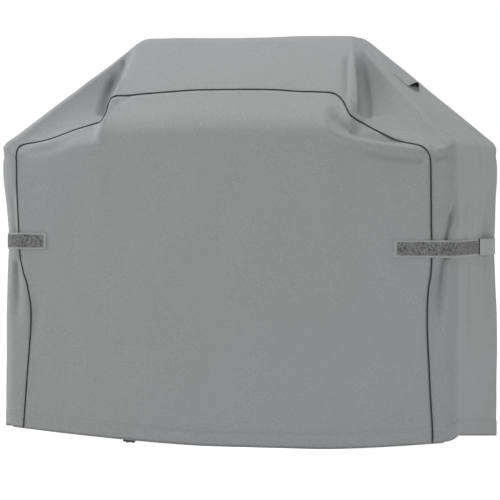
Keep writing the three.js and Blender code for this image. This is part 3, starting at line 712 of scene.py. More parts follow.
def tube_object(name, path, radius, material, sides=12, closed=False, cap=True):
    """A round tube along a path; radius may vary along it."""
    path = np.asarray(path, float)
    radius = np.broadcast_to(np.asarray(radius, float), (len(path),))
    tangent, across, up = parallel_frames(path)
    if cap and not closed:
        ends = []
        for end, inward in ((0, 1), (-1, -1)):
            rings = [(0.35, 0.75), (0.75, 0.30)]
            ends.append([(path[end] - tangent[end] * inward * radius[end] * back * 0.6,
                          radius[end] * share) for share, back in rings])
        path = np.vstack([[p for p, _ in ends[0]], path, [p for p, _ in ends[1][::-1]]])
        radius = np.concatenate([[r for _, r in ends[0]], radius, [r for _, r in ends[1][::-1]]])
        across = np.vstack([across[:1], across[:1], across, across[-1:], across[-1:]])
        up = np.vstack([up[:1], up[:1], up, up[-1:], up[-1:]])
    angles = np.linspace(0, 2 * math.pi, sides, endpoint=False)
    ring = np.cos(angles)[None, :, None] * across[:, None, :]
    ring = ring + np.sin(angles)[None, :, None] * up[:, None, :]
    grid = path[:, None, :] + ring * radius[:, None, None]
    faces = grid_faces(len(path), sides, close_rows=closed, close_cols=True)
    if not closed:
        faces.append(tuple(range(sides - 1, -1, -1)))
        last = (len(path) - 1) * sides
        faces.append(tuple(range(last, last + sides)))
    along = arc_lengths(path)[:, None] * np.ones(sides)
    around = np.ones(len(path))[:, None] * angles * float(radius.mean())
    uv = np.stack([along, around], -1).reshape(-1, 2)
    return make_object(name, grid.reshape(-1, 3), faces, material, uv)


def arc(centre, radii, start, end, count):
    """Points of an arc as (radius, height) pairs, from start to end in degrees."""
    angles = np.radians(np.linspace(start, end, count))
    return [(centre[0] + radii[0] * math.cos(a), centre[1] + radii[1] * math.sin(a)) for a in angles]


def lathe_object(name, profile, centre, axis, material, segments=48):
    """A turned piece from (radius, height) pairs, ends on the axis or a closed loop."""
    profile = np.asarray(profile, float)
    axis = unit(np.asarray(axis, float))
    helper = np.array([0, 0, 1.0]) if abs(axis[2]) < 0.9 else np.array([1.0, 0, 0])
    a = unit(np.cross(axis, helper))
    b = np.cross(axis, a)
    angles = np.linspace(0, 2 * math.pi, segments, endpoint=False)
    spokes = np.cos(angles)[:, None] * a + np.sin(angles)[:, None] * b
    loop = np.allclose(profile[0], profile[-1])
    ring = profile[:-1] if loop else profile
    grid = spokes[:, None, :] * ring[None, :, :1] + axis * ring[None, :, 1:]
    vertices = (grid + np.asarray(centre)).reshape(-1, 3)
    faces = grid_faces(segments, len(ring), close_rows=True, close_cols=loop)
    piece = make_object(name, vertices, faces, material)
    merge_points(piece, 1e-6)
    return piece


def merge_points(piece, distance):
    mesh = bmesh.new()
    mesh.from_mesh(piece.data)
    bmesh.ops.remove_doubles(mesh, verts=mesh.verts, dist=distance)
    bmesh.ops.recalc_face_normals(mesh, faces=mesh.faces)
    mesh.to_mesh(piece.data)
    mesh.free()


def apply_modifiers(piece):
    """Turns the modified shape into the piece's own mesh."""
    graph = bpy.context.evaluated_depsgraph_get()
    shaped = bpy.data.meshes.new_from_object(piece.evaluated_get(graph))
    piece.modifiers.clear()
    piece.data = shaped


def box_object(name, centre, axes, size, material):
    """A box along three unit axes, with slightly rounded edges."""
    corners = [(x, y, z) for x in (-0.5, 0.5) for y in (-0.5, 0.5) for z in (-0.5, 0.5)]
    basis = np.array(axes, float)
    vertices = [np.asarray(centre) + (np.array(c) * size) @ basis for c in corners]
    faces = [(0, 1, 3, 2), (4, 6, 7, 5), (0, 4, 5, 1), (2, 3, 7, 6), (0, 2, 6, 4), (1, 5, 7, 3)]
    return make_object(name, vertices, faces, material, smooth_faces=False)


def cut(piece, cutter):
    boolean = piece.modifiers.new("cut", "BOOLEAN")
    boolean.operation = "DIFFERENCE"
    boolean.solver = "EXACT"
    boolean.object = cutter
    apply_modifiers(piece)
    bpy.data.objects.remove(cutter)


def fit_piece(piece, body, node=None):
    """The piece moves with a body, and stands for a node if one is named."""
    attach(piece, body)
    if node:
        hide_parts(node)


# ---------------------------------------------------------------- materials


class Nodes:
    """A material's node tree, built with short calls."""

    def __init__(self, name):
        self.material = bpy.data.materials.new(name)
        self.material.use_nodes = True
        self.tree = self.material.node_tree
        self.shader = self.tree.nodes["Principled BSDF"]

    def new(self, kind, **values):
        node = self.tree.nodes.new("ShaderNode" + kind)
        for key, value in values.items():
            setattr(node, key, value)
        return node

    def link(self, a, b):
        self.tree.links.new(a, b)

    def uv(self):
        node = self.new("UVMap")
        node.uv_map = "cloth"
        return node.outputs["UV"]

    def lengths(self):
        """Lengths along and across the cloth, in metres."""
        split = self.new("SeparateXYZ")
        self.link(self.uv(), split.inputs[0])
        return split.outputs["X"], split.outputs["Y"]

    def place(self):
        return self.new("TexCoord").outputs["Object"]

    def noise(self, vector, scale, detail=3.0, rough=0.5, distortion=0.0):
        node = self.new("TexNoise")
        node.inputs["Scale"].default_value = scale
        node.inputs["Detail"].default_value = detail
        node.inputs["Roughness"].default_value = rough
        node.inputs["Distortion"].default_value = distortion
        self.link(vector, node.inputs["Vector"])
        return node.outputs["Fac"]

    def math(self, operation, a, b=None, c=None):
        node = self.new("Math", operation=operation)
        for socket, value in zip(node.inputs, (a, b, c)):
            if value is None:
                continue
            if isinstance(value, (int, float)):
                socket.default_value = value
            else:
                self.link(value, socket)
        return node.outputs[0]

    def mix(self, factor, a, b):
        node = self.new("Mix", data_type="RGBA")
        self.link(factor, node.inputs["Factor"])
        for socket, value in ((node.inputs[6], a), (node.inputs[7], b)):
            if isinstance(value, tuple):
                socket.default_value = (*value, 1)
            else:
                self.link(value, socket)
        return node.outputs[2]

    def spread(self, value, low, high):
        """The value mapped from low..high to 0..1."""
        node = self.new("MapRange")
        node.inputs["From Min"].default_value = low
        node.inputs["From Max"].default_value = high
        self.link(value, node.inputs["Value"])
        return node.outputs["Result"]

    def bump(self, height, distance, strength=1.0):
        node = self.new("Bump")
        node.inputs["Distance"].default_value = distance
        node.inputs["Strength"].default_value = strength
        self.link(height, node.inputs["Height"])
        self.link(node.outputs["Normal"], self.shader.inputs["Normal"])

    def set(self, **values):
        names = {
            "color": "Base Color", "rough": "Roughness", "metal": "Metallic",
            "sheen": "Sheen Weight", "sheen_rough": "Sheen Roughness",
            "specular": "Specular IOR Level", "coat": "Coat Weight",
        }
        for key, value in values.items():
            socket = self.shader.inputs[names[key]]
            if isinstance(value, (int, float)):
                socket.default_value = value
            elif isinstance(value, tuple):
                socket.default_value = (*value, 1)
            else:
                self.link(value, socket)


def weave_height(n, pitch):
    """Plain weave on the cloth's own lengths: threads go over and under in turn."""
    along, across = n.lengths()
    warp = n.math("MULTIPLY", along, math.pi / pitch)
    weft = n.math("MULTIPLY", across, math.pi / pitch)
    sin_a, sin_b = n.math("SINE", warp), n.math("SINE", weft)
    over = n.math("MULTIPLY", n.math("SINE", n.math("ADD", warp, math.pi / 2)),
                  n.math("SINE", n.math("ADD", weft, math.pi / 2)))
    threads = n.math("MAXIMUM", n.math("ABSOLUTE", sin_a), n.math("ABSOLUTE", sin_b))
    return n.math("ADD", n.math("MULTIPLY", over, 0.5), threads)


def cover_fabric(name, tone=1.0):
    """Matt grey polyester canvas: two yarn shades, a plain weave and a faint cool drift."""
    n = Nodes(name)
    place = n.place()
    grey = tuple(tone * c for c in (0.166, 0.172, 0.169))
    light = tuple(tone * c for c in (0.206, 0.213, 0.210))
    cool = tuple(tone * c for c in (0.170, 0.172, 0.185))
    drift = n.spread(n.noise(place, 1.6, 1.0), 0.38, 0.62)
    yarn = n.spread(n.noise(place, 300, 2.0, 0.6), 0.36, 0.64)
    cloud = n.spread(n.noise(place, 60, 3.0, 0.55), 0.30, 0.70)
    mixed = n.math("ADD", n.math("MULTIPLY", yarn, 0.85), n.math("MULTIPLY", cloud, 0.15))
    tint = n.mix(drift, grey, cool)
    n.set(color=n.mix(mixed, tint, light), rough=0.90, sheen=0.06, specular=0.12)
    fuzz = n.noise(place, 900, 2.0)
    height = n.math("ADD", weave_height(n, WEAVE), n.math("MULTIPLY", fuzz, 0.4))
    n.bump(height, 0.00022, 0.8)
    return n.material


def coated_inside(name):
    n = Nodes(name)
    place = n.place()
    cloud = n.spread(n.noise(place, 35, 4.0), 0.3, 0.7)
    n.set(color=n.mix(cloud, (0.235, 0.240, 0.240), (0.265, 0.270, 0.270)), rough=0.55)
    n.bump(weave_height(n, WEAVE), 0.00012, 0.6)
    return n.material


def piping_cloth(name):
    n = Nodes(name)
    along, across = n.lengths()
    diagonal = n.math("ADD", n.math("MULTIPLY", along, 2600),
                      n.math("MULTIPLY", across, 2600))
    twill = n.math("SINE", diagonal)
    cloud = n.spread(n.noise(n.place(), 160, 3.0), 0.3, 0.7)
    n.set(color=n.mix(cloud, (0.006, 0.006, 0.0065), (0.014, 0.014, 0.015)), rough=0.65,
          sheen=0.05, specular=0.2)
    n.bump(twill, 0.0002, 0.6)
    return n.material


def hook_loop(name, shade, height):
    """Fuzzy nylon tape: dark, with lighter tufts."""
    n = Nodes(name)
    place = n.place()
    tuft = n.spread(n.noise(place, 330, 5.0, 0.7, 1.2), 0.36, 0.64)
    clump = n.spread(n.noise(place, 150, 3.0, 0.6), 0.38, 0.62)
    mixed = n.math("ADD", n.math("MULTIPLY", tuft, 0.45), n.math("MULTIPLY", clump, 0.55))
    dark = tuple(0.30 * c for c in shade)
    light = tuple(2.0 * c for c in shade)
    n.set(color=n.mix(mixed, dark, light), rough=0.95, sheen=0.04, specular=0.08)
    n.bump(tuft, height, 1.0)
    return n.material


def thread_look(name, shade):
    n = Nodes(name)
    strand = n.spread(n.noise(n.place(), 2500, 2.0), 0.3, 0.7)
    dark = tuple(0.85 * c for c in shade)
    n.set(color=n.mix(strand, dark, shade), rough=0.6, sheen=0.2)
    n.bump(strand, 0.0001, 0.6)
    return n.material


def mesh_cloth(name):
    """Black knitted vent mesh."""
    n = Nodes(name)
    along, across = n.lengths()
    rows = n.math("ABSOLUTE", n.math("SINE", n.math("MULTIPLY", along, 1900)))
    cols = n.math("ABSOLUTE", n.math("SINE", n.math("MULTIPLY", across, 1900)))
    hole = n.spread(n.math("MULTIPLY", rows, cols), 0.25, 0.65)
    n.set(color=n.mix(hole, (0.016, 0.016, 0.017), (0.003, 0.003, 0.003)), rough=0.8)
    n.bump(n.math("SUBTRACT", 1.0, hole), 0.0005, 1.0)
    return n.material


def moulded_plastic(name, shade):
    n = Nodes(name)
    grain = n.noise(n.place(), 3500, 3.0)
    cloud = n.spread(n.noise(n.place(), 90, 3.0), 0.3, 0.7)
    light = tuple(1.3 * c for c in shade)
    n.set(color=n.mix(cloud, shade, light), rough=n.math("ADD", 0.36, n.math("MULTIPLY", cloud, 0.14)))
    n.bump(grain, 0.00008, 0.6)
    return n.material


def plated_metal(name):
    n = Nodes(name)
    cloud = n.spread(n.noise(n.place(), 500, 4.0), 0.3, 0.7)
    n.set(color=n.mix(cloud, (0.50, 0.50, 0.49), (0.66, 0.66, 0.65)), metal=1.0,
          rough=n.math("ADD", 0.25, n.math("MULTIPLY", cloud, 0.15)))
    n.bump(cloud, 0.00003, 0.5)
    return n.material


def braided_cord(name):
    n = Nodes(name)
    along, across = n.lengths()
    lay = n.math("MULTIPLY", along, 1900)
    around = n.math("MULTIPLY", across, 1143)
    left = n.math("SINE", n.math("ADD", lay, around))
    right = n.math("SINE", n.math("SUBTRACT", lay, around))
    braid = n.math("MAXIMUM", left, right)
    shade = n.spread(braid, -1.0, 1.0)
    n.set(color=n.mix(shade, (0.010, 0.010, 0.010), (0.035, 0.035, 0.036)), rough=0.7, sheen=0.2)
    n.bump(shade, 0.0003, 0.9)
    return n.material


FABRIC = cover_fabric("grey_canvas")
# The straps' canvas is the cover's own fabric made 12 per cent lighter: a painted highlight for the light
# that their folded edges catch.
LIT_STRAP_CANVAS = cover_fabric("grey_strap_canvas_painted_highlight", 1.12)
INSIDE = coated_inside("coated_inside")
PIPING = piping_cloth("black_piping")
LOOP = hook_loop("loop_pile", (0.105, 0.107, 0.106), 0.0012)
HOOK = hook_loop("hook_pile", (0.075, 0.076, 0.076), 0.0008)
THREAD = thread_look("grey_thread", (0.235, 0.240, 0.238))
MESH = mesh_cloth("vent_mesh_black")
PLASTIC = moulded_plastic("black_plastic", (0.012, 0.012, 0.012))
METAL = plated_metal("plated_steel")
CORD = braided_cord("black_braid")

# ---------------------------------------------------------------- stitching


def stitch_object(name, path, normals, body, pitch=0.0042, length=0.0032, radius=0.00038):
    """A run of lockstitches that lie on the fabric along a path."""
    lengths = arc_lengths(path)
    starts = np.arange(pitch / 2, lengths[-1] - pitch / 2, pitch)
    sides, rings = 5, [(-0.5, 0.35), (-0.3, 1.0), (0.3, 1.0), (0.5, 0.35)]
    vertices, faces = [], []
    where = [np.stack([np.interp(starts + length * t, lengths, path[:, k]) for k in range(3)], -1)
             for t, _ in rings]
    lift = np.stack([np.interp(starts, lengths, normals[:, k]) for k in range(3)], -1)
    for i in range(len(starts)):
        along = unit(where[-1][i] - where[0][i])
        up = unit(lift[i] - along * np.dot(lift[i], along))
        across = np.cross(along, up)
        base = len(vertices)
        for (t, share), ring_centre in zip(rings, where):
            sink = -0.0002 if share < 1 else 0.00012
            for k in range(sides):
                angle = 2 * math.pi * k / sides
                out = across * math.cos(angle) + up * math.sin(angle) * 0.7
                vertices.append(ring_centre[i] + up * sink + out * radius * share)
        for ring in range(len(rings) - 1):
            for k in range(sides):
                a = base + ring * sides + k
                b = base + ring * sides + (k + 1) % sides
                faces.append((a, b, b + sides, a + sides))
        faces.append(tuple(base + k for k in range(sides - 1, -1, -1)))
        faces.append(tuple(base + 3 * sides + k for k in range(sides)))
    piece = make_object(name, np.array(vertices), faces, THREAD)
    fit_piece(piece, body)
    return piece


# ---------------------------------------------------------------- panels and band


def hem_rows(edge, outwards):
    """Rows that turn a lower edge in under itself, from inside to outside."""
    angles = np.radians([175, 140, 105, 75, 45, 20])
    rows = []
    for a in angles:
        inward = HEM_TURN * (1 - math.cos(a))
        drop = HEM_TURN * math.sin(a)
        rows.append(edge - outwards * inward - np.array([0, 0, drop]) + np.array([0, 0, HEM_TURN]))
    return rows


def footprint_normals(points):
    """Outward level direction at points on the walls."""
    x, y = points[:, 0], points[:, 1]
    cx = np.clip(x, -STRAIGHT_X, STRAIGHT_X)
    cy = np.clip(y, -STRAIGHT_Y, STRAIGHT_Y)
    out = np.stack([x - cx, y - cy, np.zeros_like(x)], -1)
    return unit(out)


def build_panel(outline, name, node):
    grid = panel_grid(outline)
    distance = outline.distance(grid[..., 0], grid[..., 2])
    near_hem = smooth((grid[..., 2] - 0.060) / 0.060)
    grid = drape(grid, seam_puff(distance) * lerp(0.35, 1, near_hem))
    grid[0, :, 2] += HEM_TURN
    turned = hem_rows(grid[0], footprint_normals(grid[0]))
    grid = np.concatenate([np.array(turned), grid])
    piece = sheet_object(name, grid, FABRIC, inside=INSIDE)
    fit_piece(piece, "cover", node)
    return piece


def band_seam_distance(grid):
    """Distance from the nearer of the two seams, measured along each section."""
    steps = np.linalg.norm(np.diff(grid, axis=1), axis=-1)
    start = np.concatenate([np.zeros((len(grid), 1)), np.cumsum(steps, 1)], 1)
    return np.minimum(start, start[:, -1:] - start)


def build_band():
    grid = band_grid()
    for end, rows in ((0, slice(0, 36)), (-1, slice(-36, None))):
        level = hem_lift(grid[end, :, 0], grid[end, :, 1]) + HEM_TURN
        own = grid[rows, :, 2].copy()
        lowest = grid[end, :, 2].copy()
        grid[rows, :, 2] = own + (level - lowest) * (1 - smooth((own - lowest) / LIFT_FADE))
    grid = drape(grid, seam_puff(band_seam_distance(grid)))
    first = hem_rows(grid[0], footprint_normals(grid[0]))
    last = hem_rows(grid[-1], footprint_normals(grid[-1]))[::-1]
    grid = np.concatenate([np.array(first), grid, np.array(last)])
    piece = sheet_object("band_cloth", grid, FABRIC, inside=INSIDE)
    apply_modifiers(piece)
    for name in SIDES:
        f = slope_frame(name)
        middle = on_slope(f, VENT_HOLE["start"] + VENT_HOLE["length"] / 2, 0, 0)
        size = (VENT_HOLE["length"], VENT_HOLE["width"], 0.04)
        cutter = box_object("cutter", middle, (f["u"], (0, 1, 0), f["w"]), size, INSIDE)
        cut(piece, cutter)
    fit_piece(piece, "cover", "top_and_side_band")
    return piece


# ---------------------------------------------------------------- vents


def slope_frame(name):
    sign = SIDES[name]
    run, drop = HALF_W - RIDGE_X, HEIGHT - SHOULDER
    length = math.hypot(run, drop)
    along = (HEIGHT - VENT["z"]) / drop
    return {
        "sign": sign,
        "u": np.array([sign * run / length, 0, -drop / length]),
        "w": np.array([sign * drop / length, 0, run / length]),
        "origin": np.array([sign * (RIDGE_X + run * along), VENT["y"], VENT["z"]]),
    }


def on_slope(f, down, y, up):
    down, y, up = np.broadcast_arrays(down, y, up)
    return (f["origin"] + down[..., None] * f["u"] + up[..., None] * f["w"]
            + y[..., None] * np.array([0, 1.0, 0]))


def vent_rise(across):
    return np.sin(math.pi * np.clip(across + 0.5, 0, 1)) ** 0.85


def build_vent(name):
    f = slope_frame(name)
    across = np.linspace(-0.5, 0.5, 57)[None, :]
    t = np.concatenate([np.linspace(-0.14, 0, 5), np.linspace(0, 1, 22)[1:]])[:, None]
    lift = np.sin(math.pi / 2 * np.clip(t, 0, 1)) * vent_rise(across) * VENT["rise"]
    pucker = 0.0006 * np.sin(across * 70) * smooth(1 - np.abs(t - 0.15) / 0.3)
    grid = on_slope(f, VENT["length"] * t, VENT["width"] * across * (1 + 0.02 * t), 0.0016 + lift + pucker)
    edge = grid[-1]
    inward = -f["u"]
    turned = [edge + f["u"] * 0.0012 - f["w"] * 0.0006, edge + f["u"] * 0.0012 - f["w"] * 0.0016,
              edge - f["w"] * 0.0026, edge + inward * 0.010 - f["w"] * 0.0024]
    grid = np.concatenate([grid, np.array(turned)])
    hood = sheet_object(f"{name}_vent_hood_cloth", grid, FABRIC, 0.0010, INSIDE)
    fit_piece(hood, "cover", f"{name}_vent_hood")

    # The flange that is sewn flat to the slope round three sides of the hood.
    rim = 0.010
    half = VENT["width"] / 2
    length = VENT["length"]
    path = np.array([(length, -half), (0.004, -half), (0.0, -half + 0.004), (0.0, half - 0.004),
                     (0.004, half), (length, half)])
    rows = []
    for share in (0.0, 0.12, 0.5, 0.88, 1.0):
        out = rim * share
        outline = np.array([(length, -half - out), (-out * 0.6, -half - out), (-out, -half - out * 0.6),
                            (-out, half + out * 0.6), (-out * 0.6, half + out), (length, half + out)])
        outline = outline if share else path
        up = 0.0014 if 0 < share < 1 else 0.0006
        rows.append(on_slope(f, resample(outline, 90)[:, 0], resample(outline, 90)[:, 1], up))
    flange = sheet_object(f"{name}_vent_flange", np.array(rows), FABRIC, 0.0007, INSIDE)
    fit_piece(flange, "cover")
    seam = resample(np.array([(length, -half - 0.005), (-0.005, -half - 0.005),
                              (-0.005, half + 0.005), (length, half + 0.005)]), 200)
    line = on_slope(f, seam[:, 0], seam[:, 1], 0.0017)
    stitch_object(f"{name}_vent_stitches", line, np.tile(f["w"], (len(line), 1)), "cover", 0.0036, 0.0026)
    hem = on_slope(f, length - 0.007, VENT["width"] * np.linspace(-0.47, 0.47, 120),
                   0.0017 + VENT["rise"] * vent_rise(np.linspace(-0.47, 0.47, 120)) * 0.985)
    stitch_object(f"{name}_vent_hem_stitches", hem, np.tile(f["w"], (len(hem), 1)), "cover", 0.0036, 0.0026)

    span = np.linspace(-0.42, 0.42, 60)
    reach = VENT["length"] - 0.004
    rise = VENT["rise"] * vent_rise(span) * math.sin(math.pi / 2 * reach / VENT["length"])
    stay = tube_object(f"{name}_vent_stay_rod", on_slope(f, reach, VENT["width"] * span, rise - 0.0016),
                       0.0009, PLASTIC, 10)
    fit_piece(stay, "cover", f"{name}_vent_stay")

    border = 0.009
    down = np.linspace(VENT_HOLE["start"] - border, VENT_HOLE["start"] + VENT_HOLE["length"] + border, 24)
    y = np.linspace(-0.5, 0.5, 60) * (VENT_HOLE["width"] + 2 * border)
    sag = -0.0020 - 0.0012 * np.outer(np.sin(math.pi * np.linspace(0, 1, 24)),
                                      np.sin(math.pi * np.linspace(0, 1, 60)))
    screen = sheet_object(f"{name}_vent_screen", on_slope(f, down[:, None], y[None, :], sag), MESH, 0.0006)
    fit_piece(screen, "cover", f"{name}_vent_mesh")


# ---------------------------------------------------------------- piping


def surface_normal(path):
    """Outward normal of the front or back face at points on it."""
    x, y, z = path.T
    sign = np.sign(y)
    e = 0.0008
    dx = (face_depth(x + e, z) - face_depth(x - e, z)) / (2 * e)
    dz = (face_depth(x, z + e) - face_depth(x, z - e)) / (2 * e)
    return unit(np.stack([-dx, sign, -dz], -1))


def build_piping(outline, name, node):
    inset = 0.0035
    s = np.linspace(inset, outline.lengths[-1] - inset, 900)
    x, z = outline.at(s).T
    path = on_face(x, z, outline.sign)
    normal = surface_normal(path)
    path = path + normal * (relief(path) + 0.0004)[:, None] + draw_vector(path)
    wobble = 1 + 0.035 * np.sin(s * 310) * np.sin(s * 47) + 0.02 * np.sin(s * 900)
    piece = tube_object(name, path, PIPING_R * wobble, PIPING, 12)
    fit_piece(piece, "cover", node)


# ---------------------------------------------------------------- hem


def footprint(distance, depth):
    """Level point at a distance round the footprint, from the middle of the front towards +X."""
    distance, depth = np.broadcast_arrays(np.asarray(distance, float), np.asarray(depth, float))
    quarter = ROUND / 4
    s = np.mod(distance, ROUND)
    turn = np.minimum((s // quarter).astype(int), 3)
    s = s - turn * quarter
    forward = turn % 2 == 0
    first = np.where(forward, STRAIGHT_X, STRAIGHT_Y)
    second = np.where(forward, STRAIGHT_Y, STRAIGHT_X)
    r = CORNER_R - depth
    angle = np.clip((s - first) / CORNER_R, 0, math.pi / 2)
    x = np.where(s < first, s, first + r * np.sin(angle))
    y = np.where(s < first, -second - r, -second - r * np.cos(angle))
    past = s - first - ARC
    x = np.where(past > 0, first + r, x)
    y = np.where(past > 0, -second + past, y)
    a = turn * math.pi / 2
    return np.stack([x * np.cos(a) - y * np.sin(a), x * np.sin(a) + y * np.cos(a)], -1)


def hem_point(distance, depth, rise):
    flat = footprint(distance, depth)
    outer = footprint(distance, 0)
    z = hem_lift(outer[..., 0], outer[..., 1]) + rise
    z = np.broadcast_to(z, flat.shape[:-1])
    return np.concatenate([flat, z[..., None]], -1)


HEM_SECTION = [
    (0.0020, 0.0022), (0.0024, 0.0008), (0.0034, 0.0003), (0.0062, 0.0004), (0.0076, 0.0010),
    (0.0083, 0.0026), (0.0084, 0.0060), (0.0084, 0.0120), (0.0084, 0.0200), (0.0083, 0.0300),
    (0.0078, 0.0355), (0.0062, 0.0400), (0.0040, 0.0435), (0.0022, 0.0455), (0.0017, 0.0470),
    (0.0017, 0.0480),
]


def build_hem():
    around = np.linspace(0, ROUND, 901)[:-1]
    depth, rise = np.array(HEM_SECTION).T
    grid = hem_point(around[:, None], depth[None, :], rise[None, :])
    along = around[:, None] * np.ones(len(depth))
    profile = np.ones(len(around))[:, None] * arc_lengths(np.array(HEM_SECTION))
    uv = np.stack([along, profile], -1).reshape(-1, 2)
    faces = grid_faces(*grid.shape[:2], close_rows=True)
    piece = make_object("hem_casing_cloth", grid.reshape(-1, 3), faces, FABRIC, uv)
    solid = piece.modifiers.new("thickness", "SOLIDIFY")
    solid.thickness = 0.0006
    solid.offset = 0
    apply_modifiers(piece)
    for sign in (-1, 1):
        y = -HALF_D + CASING_DEPTH
        z = float(hem_lift(LOCK["x"], -HALF_D)) + EYELET_RISE
        centre = (LOCK["x"] + sign * EYELET_X, y, z)
        hole = lathe_object("cutter", [(0, -0.006), (0.0038, -0.006), (0.0038, 0.006), (0, 0.006)],
                            centre, (0, 1, 0), FABRIC, 32)
        cut(piece, hole)
    fit_piece(piece, "cover", "hem_casing")
    around = np.linspace(0, ROUND, 2400)
    for row, rise in (("upper", 0.0455), ("lower", 0.0425)):
        line = hem_point(around, -0.0001, rise)
        normals = footprint_normals(line)
        line = line + normals * relief(line)[:, None] + draw_vector(line)
        stitch_object(f"hem_{row}_stitches", line, normals, "cover", 0.0046, 0.0034)
    return piece


def build_eyelets():
    section = arc((0.0041, 0), (0.0016, 0.00138), 0, 360, 17)
    for name, sign in SIDES.items():
        y = -HALF_D + CASING_DEPTH + 0.0008
        z = float(hem_lift(LOCK["x"], -HALF_D)) + EYELET_RISE
        ring = lathe_object(f"{name}_eyelet_ring", section, (LOCK["x"] + sign * EYELET_X, y, z),
                            (0, 1, 0), METAL, 48)
        fit_piece(ring, "cover", f"{name}_cord_eyelet")


def build_cord():
    wall_y = -HALF_D + CASING_DEPTH
    eyelet_z = float(hem_lift(LOCK["x"], -HALF_D)) + EYELET_RISE

    def tail(sign):
        x = LOCK["x"] + sign * EYELET_X
        strand = LOCK["x"] + sign * STRAND
        return [
            (strand, BEAD_Y - 0.006, LOCK["z"]), (strand, BEAD_Y - 0.026, LOCK["z"]),
            (strand, LOCK["y"], LOCK["z"]), (strand, LOCK["y"] - 0.011, LOCK["z"]),
            (strand, LOCK["y"] - 0.018, LOCK["z"] + 0.0018),
            (lerp(strand, x, 0.5), wall_y + 0.013, lerp(LOCK["z"], eyelet_z, 0.6)),
            (x, wall_y + 0.005, eyelet_z - 0.001), (x, wall_y + 0.0007, eyelet_z),
            (x + sign * 0.0003, wall_y - 0.0014, eyelet_z),
            (x + sign * 0.0022, wall_y - 0.0037, eyelet_z - 0.0003),
            (x + sign * 0.008, wall_y - 0.004, eyelet_z - 0.0014),
        ]

    start = LOCK["x"] + EYELET_X + 0.022
    end = LOCK["x"] + ROUND - EYELET_X - 0.022
    loop = hem_point(np.linspace(start, end, 221), 0.0049, 0.008)
    points = [*tail(1), *map(tuple, loop), *tail(-1)[::-1]]
    path = resample(catmull(points, 5000), 2200)
    piece = tube_object("drawcord_braid", path, CORD_R, CORD, 10)
    fit_piece(piece, "cover", "hem_drawcord")


def build_lock():
    """Barrel cord lock: a body with a spring plunger, both pierced by the two strands."""
    centre = (LOCK["x"], LOCK["y"], LOCK["z"])
    half, r, bore = LOCK["length"] / 2, LOCK["radius"], LOCK["bore"]
    nose = 0.0035  # rounding of the body's closed end
    body = [(bore, -half), (bore + 0.0004, -half - 0.0003), (r - 0.0008, -half), (r, -half + 0.0010),
            (r, -half + 0.004), (r - 0.0006, -half + 0.0046), (r - 0.0006, half - 0.0085),
            (r, half - 0.0079), (r, half - nose)]
    body += arc((r - nose, half - nose), (nose, nose), 10, 85, 7)
    body += [(0, half), (0, half - 0.0022), (bore - 0.0004, half - 0.0022), (bore, half - 0.0028),
             (bore, -half)]
    slot_half = STRAND + CORD_R + 0.0007
    slot_height = 2 * CORD_R + 0.0014
    lock = lathe_object("cord_lock_barrel", body, centre, (1, 0, 0), PLASTIC, 56)
    slot = box_object("cutter", centre, np.eye(3), (2 * slot_half, 0.040, slot_height), PLASTIC)
    cut(lock, slot)
    fit_piece(lock, "cord_lock", "cord_lock_body")

    start = -half - 0.008
    end = slot_half + 0.0014
    head, neck, rim = 0.0066, 0.0058, 0.0015
    plunger = [(0, start), (head * 0.55, start + 0.0001)]
    plunger += arc((head - rim, start + rim), (rim, rim), -70, 0, 5)
    plunger += [(head, start + 0.0030), (head - 0.0003, start + 0.0035), (neck, start + 0.0037),
                (neck, end - 0.0004), (neck - 0.0004, end), (0, end)]
    button = lathe_object("cord_lock_button", plunger, centre, (1, 0, 0), PLASTIC, 48)
    middle = np.array(centre) + np.array([-PRESS / 2, 0, 0])
    slot = box_object("cutter", middle, np.eye(3), (2 * slot_half + PRESS, 0.040, slot_height), PLASTIC)
    cut(button, slot)
    fit_piece(button, "lock_plunger", "cord_lock_plunger")

    spring_start, spring_end = end + 0.00075, half - 0.0022 - 0.0007
    t = np.linspace(0, 1, 200)
    turns, coil = 4, 0.0042
    angle = 2 * math.pi * turns * t
    path = np.stack([lerp(spring_start, spring_end, t), coil * np.cos(angle), coil * np.sin(angle)], -1)
    spring = tube_object("cord_lock_coil", path + np.array(centre), 0.00035, METAL, 8)
    fit_piece(spring, "cord_lock", "cord_lock_spring")
    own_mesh(spring)

    tall = 0.0070
    bead = [(0, -tall), *arc((0.0016, 0), (0.0036, tall), -70, 70, 13), (0, tall)]
    stop = lathe_object("cord_bead", bead, (LOCK["x"], BEAD_Y, LOCK["z"]), (1, 0, 0), PLASTIC, 40)
    fit_piece(stop, "cover", "cord_end_bead")


# ---------------------------------------------------------------- straps


def strap_point(s, out):
    """Plan path of a right-hand strap: along the front, round the corner, back along the side."""
    s, out = np.broadcast_arrays(np.asarray(s, float), np.asarray(out, float))
    angle = np.clip(s / CORNER_R, 0, math.pi / 2)
    r = CORNER_R + out
    x = np.where(s < 0, STRAIGHT_X + s, STRAIGHT_X + r * np.sin(angle))
    y = np.where(s < 0, -HALF_D - out, -STRAIGHT_Y - r * np.cos(angle))
    past = s - ARC
    y = np.where(past > 0, -STRAIGHT_Y + past, y)
    far = past - 2 * STRAIGHT_Y
    turn = np.clip(far / CORNER_R, 0, math.pi / 2)
    x = np.where(far > 0, STRAIGHT_X + r * np.cos(turn), x)
    y = np.where(far > 0, STRAIGHT_Y + r * np.sin(turn), y)
    return np.stack([x, y], -1)


def side_s(y):
    return y + STRAIGHT_Y + ARC


def piping_lift(name, s):
    seam = SEAM_AT_STRAP[name] - STRAIGHT_X
    return 0.0032 * np.maximum(0, np.cos(np.clip((s - seam) / 0.022, -1, 1) * math.pi / 2))


